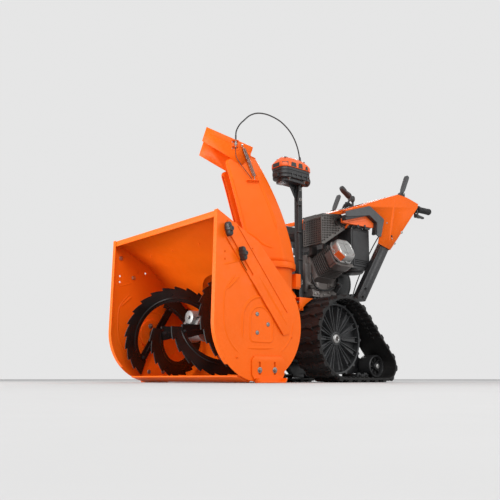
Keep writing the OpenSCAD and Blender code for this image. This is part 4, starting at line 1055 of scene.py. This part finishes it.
piece("crankcase_bolts", many(nut("X", c, 4.6, 3.5, 1, False) for c in rosette), "steel", bevel=0.3)
oil = lathe("Z", (0, 0, 0), [(12, 0), (12, 30), (15, 31), (15, 40), (13, 43), (0.01, 43)],
    28).at(move(96, 880, 405) @ mat4("Y", 38))
piece("oil_filler", oil, "plastic", bevel=0.5)
pipes = hose([(112, 706, 470), (128, 700, 440), (132, 716, 408), (128, 760, 398), (122, 812, 404),
    (110, 850, 420)], 8, 4.2, 12)
pipes += hose([(92, 842, 560), (118, 850, 548), (128, 866, 520), (126, 884, 496), (150, 900, 486)], 8, 5.5,
    12)
piece("engine_hoses", pipes, "cable", angle=60)
pan = block(-112, 118, 716, 850, 351.5, 357)
piece("engine_feet", pan, "engine", bevel=1.0)
piece("engine_feet_bolts", many(nut("Z", (x, y, 357), 6, 5) for x in (-106, 110) for y in (726, 840)),
    "steel", bevel=0.3)

# muffler guard: bars and a rim give a pierced sheet on each face
GX0, GX1 = 76, 186  # the guard's two faces across the machine
GUARD = [(696, 590), (696, 706), (708, 724), (822, 737.5), (850, 730), (850, 672), (716, 590)]


def pierced(p, u, w, nu, nw, rim):
    """Sheet on the plane of u and w with nu by nw oblong holes."""
    thick, gap = 1.6, 3.4
    p, u, w = Vector(p), Vector(u), Vector(w)
    lu, lw = u.length, w.length
    u, w = u.normalized(), w.normalized()
    du, dw = (lu - 2 * rim) / nu, (lw - 2 * rim) / nw
    holes = [rect(a, b, a + du - gap, b + dw - gap, 1.2, 1) for a in [rim + gap / 2 + du * i
        for i in range(nu)] for b in [rim + gap / 2 + dw * j for j in range(nw)]]
    flat = plate("Z", [(0, 0), (lu, 0), (lu, lw), (0, lw)], 0, thick, holes, 0.2)
    t = u.cross(w)
    return Geo([p + u * q.x + w * q.y + t * q.z for q in flat.v], flat.f)


def inside_outline(poly, q):
    """True where the point lies within the outline."""
    hits = [a for a, b in zip(poly, poly[1:] + poly[:1]) if (a[1] > q[1]) != (b[1] > q[1])
        and q[0] < a[0] + (b[0] - a[0]) * (q[1] - a[1]) / (b[1] - a[1])]
    return len(hits) % 2 == 1


clear = inset(GUARD[::-1], 7)
cells = []
for i in range(14):
    for j in range(14):
        y, z = 703 + 10 * i, 592 + 10.6 * j + 0.12 * 10 * i
        corners = [(y, z), (y + 6.6, z), (y + 6.6, z + 7.6), (y, z + 7.6)]
        if all(inside_outline(clear, q) for q in corners) and math.dist((y + 3, z + 3), (800, 700)) > 25:
            cells.append(rounded(corners, 1.2, 1))
guard = plate("X", GUARD, GX1 - 1.8, GX1, cells + [hole((800, 700), 16, 28)], 0.3)
guard += plate("X", GUARD, GX0, GX0 + 1.8, cells, 0.3)
wx = GX1 - GX0
for k, nw in ((0, 11), (1, 2), (2, 11), (3, 2), (4, 5), (5, 14)):
    a, b = Vector((0, *GUARD[k])), Vector((0, *GUARD[k + 1]))
    guard += pierced((GX1, a.y, a.z), (-wx, 0, 0), b - a, 10, nw, rim=4.0)
piece("guard_mesh", guard, "guard", stands_for="muffler_guard", angle=30)
piece("guard_bolts", many(screw("X", (GX1, y, z), 4) for y, z in ((702, 602), (842, 726), (842, 680),
    (706, 712))), "plastic_gray", angle=40)
outlet = lathe("X", (0, 800, 700), [(12, 176), (15, 177), (15, 188), (19, 190), (19, 193), (12, 193),
    (12, 180), (0.01, 180)], 36)
piece("exhaust_outlet", outlet, "heat", bevel=0.5)
piece("cylinder_shroud", prism("X", rounded([(864, 620), (880, 616), (880, 520), (866, 516)], 5), 66, 118),
    "plastic", bevel=2.0)

# starter side, tank, heater box and cowl
grill = lathe("Y", (0, 0, 450), [(70, 1008), (74, 1010.6), (79, 1009), (84, 992), (97, 986), (98, 980),
    (96, 980), (90, 984), (70, 1008)], 72)
for k in range(5):
    r = 22 + 11 * k
    grill += lathe("Y", (0, 0, 450), [(r, 1008), (r + 1.2, 1011.4), (r + 3.6, 1011.4), (r + 4.8, 1008),
        (r, 1008)], 64)
piece("starter_grill", grill, "plastic", bevel=0.5)
piece("starter_bolts", many(screw("Y", (88 * cos(rad(60 * k + 30)), 988.6,
    450 + 88 * sin(rad(60 * k + 30))), 6) for k in range(6)), "steel", angle=40)
FILLER = (-80, 930, 0)  # the tank filler's axis
tank = prism("Z", rect(-150, 846, 64, 996, 22, 6), 604, 690)
tank += prism("Z", rect(-150.6, 845.4, 64.6, 996.6, 22, 6), 643, 647)
tank += prism("Z", rect(-150, 700, -45, 875, 18, 5), 640, 706,) + prism("Z",
    rect(-150, 700, -45, 875, 18, 5), 706, 712, rect(-145, 705, -50, 849, 16, 5))
tank += prism("Z", rect(-150.6, 699.4, -44.4, 860, 18, 5), 672, 676)
tank += lathe("Z", FILLER, [(24, 689), (24, 694), (21, 696), (21, 702), (18, 702), (18, 688), (24, 689)],
    48)
piece("tank_shell", tank, "plastic", stands_for="fuel_tank", bevel=3.0, segments=3)
lid = []
for z, r in [(702.3, 27.0), (704, 28.0), (714, 28.0), (717, 26.5), (718.2, 22), (717, 18), (716.6, 4)]:
    radii = [r - (1.6 if (k // 4) % 2 and z < 716 else 0) for k in range(96)]
    lid.append([(FILLER[0] + a * cos(2 * pi * k / 96), FILLER[1] + a * sin(2 * pi * k / 96), z)
        for k, a in enumerate(radii)])
neck = lathe("Z", FILLER, [(17.7, 690.2), (17.7, 703)], 40)
piece("tank_cap", loft(lid) + neck, "plastic_gray", "fuel_cap", "fuel_cap", angle=34)
hb = prism("X", rect(875, 500, 1001, 688, 10), 120, 199)
hb += prism("X", rect(885, 512, 991, 676, 9), 199, 202.6, rect(887, 514, 989, 674, 8))
hb += many(prism("X", rect(896, z, 980, z + 3, 1.2), 202, 203.4) for z in (524, 532, 540))
bowl = lathe("Z", (150, 936, 0), [(52, 501), (52, 497), (50, 491), (45, 486), (38, 484.2), (0.01, 484.2)],
    56)
piece("intake_box", hb + bowl, "plastic", stands_for="heater_box", bevel=1.6)
piece("intake_screws", many(screw("X", (199, y, z), 4) for y, z in ((880, 506), (996, 506), (880, 682),
    (996, 682))), "steel", angle=40)
shell = prism("X", rounded([(800, 690), (800, 712), (960, 764), (1020, 738), (1004, 696)], 7), 206, 222)
shell += prism("X", rounded([(830, 700), (950, 734), (956, 722), (840, 696)], 3), 222, 224.6)
piece("cowl_insert", shell, "orange_plastic", stands_for="engine_cowl", bevel=1.4)
ring = [(796, 698), (796, 722), (958, 775), (1046, 734), (1016, 664), (998, 664), (1008, 718), (955, 744)]
flange = [(796, 712), (792, 736), (958, 788), (1060, 742), (1034, 656), (1004, 656), (1008, 718),
    (955, 744)]
piece("cowl_frame", prism("X", rounded(ring, 6), 216, 238.6), "plastic", bevel=0.9)
piece("cowl_flange", prism("X", rounded(flange, 7), 238.5, 243.5), "plastic_gray", bevel=1.4)
links = hose([(214, 866, 690), (216, 900, 684), (214, 930, 692), (212, 968, 688), (214, 992, 694)], 8, 2.2,
    10)
links += rod("X", (0, 900, 690), 8, 196, 222, 24) + rod("X", (0, 944, 696), 6, 196, 224, 24)
links += block(204, 218, 950, 984, 684, 704) + block(196, 212, 868, 892, 682, 700)
piece("carburettor_controls", links, "plastic", bevel=0.8)
throttle = rod("X", (0, 990, 560), 10, 84, 92, 28)
throttle += prism("X", rounded([(-4, 0), (-5, 54), (5, 54), (4, 0)], 3), 84.5,
    91.5).at(move(0, 990, 560) @ mat4("X", -45))
throttle += rod("X", (0, 1030, 600), 8, 80, 96, 28, 2)
piece("throttle_arm", throttle, "plastic_gray", "throttle_lever", "throttle_lever", bevel=0.8)
pull = lathe("Y", (0, 0, 450), [(9, 1012), (9, 1031), (11, 1034), (0.01, 1034)], 28)
pull += sweep([(-42, 1040, 450), (-38, 1040, 450), (-20, 1040, 450), (0, 1039.5, 450), (20, 1040, 450),
    (38, 1040, 450), (42, 1040, 450)], [7.4, 9.4, 8.8, 9.4, 8.8, 9.4, 7.4], 24)
piece("recoil_grip", pull, "plastic_gray", "recoil_handle", "recoil_handle", angle=44)
side_panel = ridge([(140, 660, 330), (140, 700, 330), (140, 900, 330), (140, 960, 330)], (1, 0, 0), 10,
    2) + ridge([(140, 660, 120), (140, 800, 120), (140, 960, 120)], (1, 0, 0), 10, 2)
both("chassis_ribs", side_panel, "black", angle=60)
both("chassis_bolts", many(nut("X", (140, y, z), 6.5, 5) for y, z in ((655, 160), (655, 250), (655, 310),
    (960, 300), (960, 150), (850, 310))), "steel", bevel=0.3)
both("flange_bolts", many(nut("Y", (x, 577, z), 5.5, 4, -1) for x, z in ((160, 296), (160, 330))), "steel",
    bevel=0.3)

# ---- dash and handles --------------------------------------------------------
PX = 238  # outer face of a handle panel
outline = [(800, 745), (910, 785), (1178, 884), (1249, 882), (1340, 866), (1334, 845), (1107, 606),
    (1018, 625), (1052, 737), (958, 780), (800, 735)]
n = len(outline)
top = [(800, 745), (910, 785), (1178, 884), (1249, 882), (1340, 866)]
back = [(1340, 866), (1334, 845), (1107, 606)]
v = [(PX, *p) for p in outline] + [(198, *p) for p in top + back[1:]]
f = [tuple(range(n))] + [(i, i + 1, n + i + 1, n + i) for i in range(6)]
shell = Geo(v, f)
both("handle_shell", shell, "orange", stands_for=("handle_panels", None), sheet=3, inside=(100, 1120, 760),
    fold=1.8, angle=40)
crease = [(PX, 1156 - 54 * k / 5, 872 - 222 * k / 5) for k in range(6)]
marks = ridge(crease, (1, 0, 0), 15, 2.6)
both("handle_crease", marks, "orange", angle=60)
fix = screw("X", (PX, 1196, 702), 7) + screw("X", (PX, 1085, 730), 3.5) + screw("X", (PX, 1140, 640),
    5) + screw("X", (PX, 1120, 660), 4)
both("handle_screws", fix, "steel", angle=40)
ears = Geo()
for x in (207.5, 229.5):
    ears += prism("X", rounded([(1216, 882), (1216, 901), (1228, 907), (1240, 901), (1240, 882)], 4), x,
        x + 3)
both("lever_ears", ears, "black", bevel=0.5)
both("lever_pins", rod("X", (0, 1228, 897), 4, 205, 235, 20), "steel", angle=40)
both("tube_end_caps", prism("X", rounded([(1098, 702), (1150, 670), (1147, 664), (1095, 696)], 2), 204,
    234), "plastic", bevel=1.0)
both("tube_bolts", nut("X", (233, 1118, 672), 6, 5) + nut("X", (233, 905, 372), 6, 5)
    + nut("X", (233, 925, 410), 6, 5), "black", bevel=0.3)

grip_m = move(220, 1290, 842) @ mat4("X", -88)
prof = [(9.4, 66), (13, 66), (16, 68), (18.5, 70), (18.5, 72.5), (15.2, 75)]
for k in range(11):
    z = 77 + 7 * k
    prof += [(15.0, z), (15.0, z + 4.4), (13.9, z + 5.2), (13.9, z + 6.2)]
prof += [(15, 155), (16, 157), (16, 163), (14, 166.5), (10, 168), (0.01, 168)]
both("grip_sleeve", lathe("Z", (0, 0, 0), prof, 48).at(grip_m), "grip", stands_for=("handle_grips", None),
    angle=34)

lever = ((10, 8, 7), (20, 9, 8), (30, 11, 8.6), (60, 11, 9), (96, 11.6, 9), (108, 11, 8.4), (112, 9, 6.5))
paddle = loft([[(x, y, z) for x, y in rect(-a, -b, a, b, 4.5)] for z, a, b in lever])
for z in (44, 54, 64, 74, 84, 94):
    paddle += prism("Z", rect(-8, -9.6, 8, -8, 0.6), z, z + 4)
paddle = paddle.at(move(220, 1228, 897) @ mat4("X", -27)) + rod("X", (0, 1228, 897), 11, 211, 229, 32)
both("clutch_paddle", paddle, "plastic_gray", ("drive_clutch_lever", "auger_clutch_lever"),
    ("drive_clutch_lever", "auger_clutch_lever"), bevel=0.5, angle=40)
trig = prism("X", rounded([(1336, 819), (1404, 812), (1404, 803), (1386, 804), (1366, 801), (1336, 803)],
    3), 214, 226) + rod("X", (0, 1345, 811), 9, 214, 226, 28)
both("trigger_blade", trig, "plastic", "steering_trigger", "steering_trigger", bevel=1.2)
both("clutch_cables", hose([(214, 1222, 893), (208, 1216, 870), (196, 1200, 820), (180, 1150, 740),
    (150, 1080, 620), (120, 1010, 470), (110, 960, 340)], 8, 2.6, 10), "cable", angle=60)
piece("throttle_cable", hose([(226, 1030, 700), (229, 1034, 672), (230, 1046, 640), (222, 1060, 622),
    (214, 1080, 650)], 8, 2.0, 10), "cable", angle=60)

# dash: raised console, slot plate, switches and the chute joystick with its boot
slope = math.degrees(math.atan2(884 - 757, 1178 - 826))
at_dash = move(0, 826, 757) @ mat4("X", slope)
console = prism("Z", rect(118, 60, 182, 178, 8), -0.2, 3.0)
console += prism("Z", rect(-172, 70, -60, 150, 8), -0.2, 4.0, rect(-169, 73, -63, 147, 7))
console += many(prism("Z", rect(x, 88, x + 22, 130, 4), 3.8, 8.0,
    rounded([(x + 1, 90), (x + 21, 90), (x + 21, 128), (x + 1, 128)], 4)) for x in (-162, -128, -94))
piece("dash_console", console.at(at_dash), "plastic", bevel=0.6)
slot_line = prism("Z", rect(146, 74, 154, 166, 3.5), 2.4, 3.3)
piece("speed_gate", slot_line.at(at_dash), "grip", angle=40)
piece("dash_screws", many(screw("Z", (x, y, 0), 5) for x in (-186, 186)
    for y in (20, 190, 340)).at(at_dash), "steel", angle=40)
boot = lathe("Z", (0, 0, 0), [(30, 0), (31, 2), (29, 5), (25, 7), (27, 9), (22, 12), (23.5, 14), (18, 17),
    (19, 19), (12, 23), (8, 25), (6, 30)], 48)
piece("joystick_boot", boot.at(move(0, 1090, 851) @ mat4("X", slope)), "grip", "root", angle=60)
stem = spline([(0, 1090, 862), (0, 1096, 880), (0, 1106, 896), (0, 1104, 910), (0, 1090, 918),
    (0, 1072, 926), (0, 1058, 936), (0, 1047, 945), (0, 1041, 950)], 6)
swell = [5] * 9 + [5 + (14 - 5) * (k / 8) ** 0.7 for k in range(9)]
swell += [14 + 1.2 * sin(k / 8 * pi) for k in range(16)]
swell += [14 * math.sqrt(max(0.0, 1 - (k / 15) ** 2.4)) + 0.3 for k in range(1, 16)]
stick = sweep(stem, swell, 28, up=(1, 0, 0))
stick += lathe("Z", (0, 1090, 0), [(0.01, 846), (12, 848), (17, 862), (12, 875), (5, 880)], 32)
piece("joystick_grip", stick, "plastic", "joystick", "joystick", angle=60)
inlay = Geo()
for side in (-1, 1):
    inlay += ridge(spline([(side * 12.6, 1096, 914), (side * 14.4, 1086, 920), (side * 14.2, 1072, 926),
        (side * 12.4, 1058, 936)], 5), (side, 0, 0), 9, 1.6)
inlay += lathe("Z", (0, 0, 0), [(5, -3), (5, 2), (3.6, 3.2), (0.01, 3.2)],
    24).at(move(0, 1078, 938) @ mat4("X", 24))
piece("joystick_inlay", inlay, "plastic_gray", "joystick", angle=60)
knob = [(5, 822), (8, 826), (10.4, 832), (11, 840), (10, 847), (7, 851), (0.01, 852)]
shaft = prism("X", rect(946, 770, 954, 828, 1.5), 147, 153) + rod("X", (0, 950, 770), 11, 138, 162, 28)
piece("speed_knob", lathe("Z", (150, 950, 0), knob, 32) + shaft, "plastic", "speed_lever", "speed_lever",
    angle=36)

# ---- tracks ------------------------------------------------------------------
WY, WZ, IY, IZ = 726, 180, 985, 69  # drive wheel's axis and idler's axis
RW, RI, T = 171, 60, 9  # belt's outer radius over each wheel, and its thickness
dist = math.hypot(IY - WY, IZ - WZ)
mid = math.degrees(math.atan2(IZ - WZ, IY - WY))
half = math.degrees(math.acos((RW - RI) / dist))
run = dist * sin(rad(half))
ga, gb = mid + half, mid - half


def loop_at(s):
    """Point on the belt's outer face and its outward angle, s along the loop from the top of the slope."""
    arcs = ((RW * rad(360 - ga + gb), WY, WZ, RW, ga, 1), (run, 0, 0, 0, gb, 0),
        (RI * rad(ga - gb), IY, IZ, RI, gb, 1), (run, 0, 0, 0, ga, 0))
    for k, (length, cy, cz, r, g, kind) in enumerate(arcs):
        if s <= length or k == 3:
            if kind:
                a = g + math.degrees(s / r)
                return cy + r * cos(rad(a)), cz + r * sin(rad(a)), a
            y0, z0 = (WY + RW * cos(rad(gb)), WZ + RW * sin(rad(gb))) if k == 1 else (IY
                + RI * cos(rad(ga)), IZ + RI * sin(rad(ga)))
            return y0 - s * sin(rad(g)), z0 + s * cos(rad(g)), g
        s -= length


LOOP = RW * rad(360 - ga + gb) + RI * rad(ga - gb) + 2 * run
X0, X1, STEPS = 150, 300, 200  # belt's edges across the machine, and its slices
section = [(X0, -T + 1.5), (X0, -1.5), (X0 + 1.5, 0), (X1 - 1.5, 0), (X1, -1.5), (X1, -T + 1.5),
    (X1 - 1.5, -T), (X0 + 1.5, -T)]
places = [loop_at(LOOP * k / STEPS) for k in range(STEPS)]
belt = loft([[(x, y + h * cos(rad(a)), z + h * sin(rad(a))) for x, h in section] for y, z, a in places],
    loop=True)
LUGS = 24


def at_loop(s):
    """Frame that stands on the belt's outer face at s, its Z outwards."""
    y, z, a = loop_at(s % LOOP)
    return move(0, y, z) @ mat4("X", a - 90)


def lug(x0, x1, w0, w1, h, m, slant=0.0):
    """Tapered block on the belt, w0 long at its foot and w1 at its top."""
    base = [(x0, -w0 / 2), (x1, -w0 / 2 + slant), (x1, w0 / 2 + slant), (x0, w0 / 2)]
    tip = [(x0 + 1.5, -w1 / 2), (x1 - 1.5, -w1 / 2 + slant), (x1 - 1.5, w1 / 2 + slant), (x0 + 1.5, w1 / 2)]
    return prism("Z", base, -1.5, h, tip).at(m)


for k in range(LUGS):
    m = at_loop(LOOP * (k + 0.5) / LUGS)
    belt += lug(X0 + 1, 192, 30, 18, 8.8, m, slant=-7) + lug(258, X1 - 1, 30, 18, 8.8, m, slant=7)
    belt += lug(189, 225, 26, 15, 8.6, m @ move(0, -9, 0), slant=8)
    belt += lug(225, 261, 26, 15, 8.6, m @ move(0, -1, 0), slant=-8)
    s = LOOP * k / LUGS
    belt += lug(X0 + 4, 170, 12, 7, 4.5, at_loop(s)) + lug(280, X1 - 4, 12, 7, 4.5, at_loop(s))
    for half in (0, 0.5):
        y, z, a = loop_at((s + LOOP * half / LUGS) % LOOP)
        if math.hypot(y - IY, z - IZ) > 112:
            under = at_loop(s + LOOP * half / LUGS) @ mat4("X", 180) @ move(0, 0, T)
            belt += lug(244, 264, 15, 8, 6, under) + lug(266, 297, 9, 6, 3.4, under)
both("track_rubber", belt, "rubber", "track", "track_belt", bevel=0.9, angle=38)

rim = lathe("X", (0, WY, WZ), [(140, 176), (148, 174), (148, 178), (145.5, 180), (145.5, 230), (148, 232),
    (148, 236), (140, 236), (140, 232), (142, 229), (142, 181), (140, 178), (140, 176)], 96)
web = lathe("X", (0, WY, WZ), [(28, 200), (28, 206), (60, 206.5), (62, 209), (66, 209), (68, 206),
    (142.5, 206), (142.5, 200), (28, 200)], 96)
hub = lathe("X", (0, WY, WZ), [(12, 171), (30, 171), (30, 230), (28, 234), (24, 235), (22, 232), (12, 232),
    (12, 171)], 48)
wheel = rim + web + hub
SPOKES = 14
for k in range(SPOKES):
    m = move(0, WY, WZ) @ mat4("X", 360 / SPOKES * k)
    for side in (-1, 1):
        a, b = side * 2.4, side * 12
        rib, tip = ([(27, a - w), (27, a + w), (141.5, b + w), (141.5, b - w)] for w in (1.9, 1.2))
        wheel += prism("X", rib, 205.5, 231, tip).at(m)
    # raised fan between the two ribs of a spoke
    wheel += prism("X", rounded([(48, -3), (134, -10), (134, 10), (48, 3)], 3), 205, 222).at(m)
for k in range(16):
    m = move(0, WY, WZ) @ mat4("X", 22.5 * k)
    tooth = [(143, -9), (149, -7.5), (155, -4.5), (158, -2), (158, 2), (155, 4.5), (149, 7.5), (143, 9)]
    wheel += prism("X", tooth, 197, 235).at(m)
both("sprocket", wheel, "wheel", "wheel", "drive_wheel", bevel=0.8, angle=34)
axle = rod("X", (0, WY, WZ), 12, 60, 230, 40)
axle += lathe("X", (0, WY, WZ), [(9, 229), (20, 231), (20, 236), (17, 239), (11, 240), (9, 238), (9, 229)],
    48)
both("sprocket_axle", axle, "alloy", "wheel", angle=40)
axle_nut = prism("X", rounded([(WY + a, WZ + b) for a, b in ring_pts(8.4, 6)], 2), 229, 236)
axle_nut += rod("X", (0, WY, WZ), 4.5, 235, 238, 24)
both("axle_nut", axle_nut, "engine", "wheel", bevel=0.4)
roll = lathe("X", (0, IY, IZ), [(17, 168), (17, 172), (46, 172), (50, 175), (50, 235), (47, 238), (43, 238),
    (41, 234), (40, 218), (36, 214), (20, 214), (17, 218), (17, 238), (15, 240), (9.2, 240), (9.2, 168),
    (17, 168)], 72)
for k in range(8):
    rib = prism("X", [(18, -2), (18, 2), (41, 2), (41, -2)], 206, 228)
    roll += rib.at(move(0, IY, IZ) @ mat4("X", 45 * k))
both("idler_wheel", roll, "plastic", "idler", "idler", bevel=0.9, angle=36)
both("idler_bolt", lathe("X", (0, IY, IZ), [(8.8, 236), (8.8, 241), (11, 241.6), (11, 244), (9, 245),
    (0.01, 245.2)], 32), "alloy", "track", angle=40)
arm_bits = many(nut("X", (165, y, z), 5.5, 3, 1, False) for y, z in ((862, 110), (914, 90)))
both("track_arm_bolts", arm_bits, "steel", "track", bevel=0.3)
both("guide_roller", many(lathe("X", (0, y, 28), [(6, 222), (13, 223), (13, 237), (11, 238.5), (6, 238.5)],
    32) for y in (866, 908)), "plastic", "track", bevel=0.5)

# ---- the end -----------------------------------------------------------------
low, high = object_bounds()
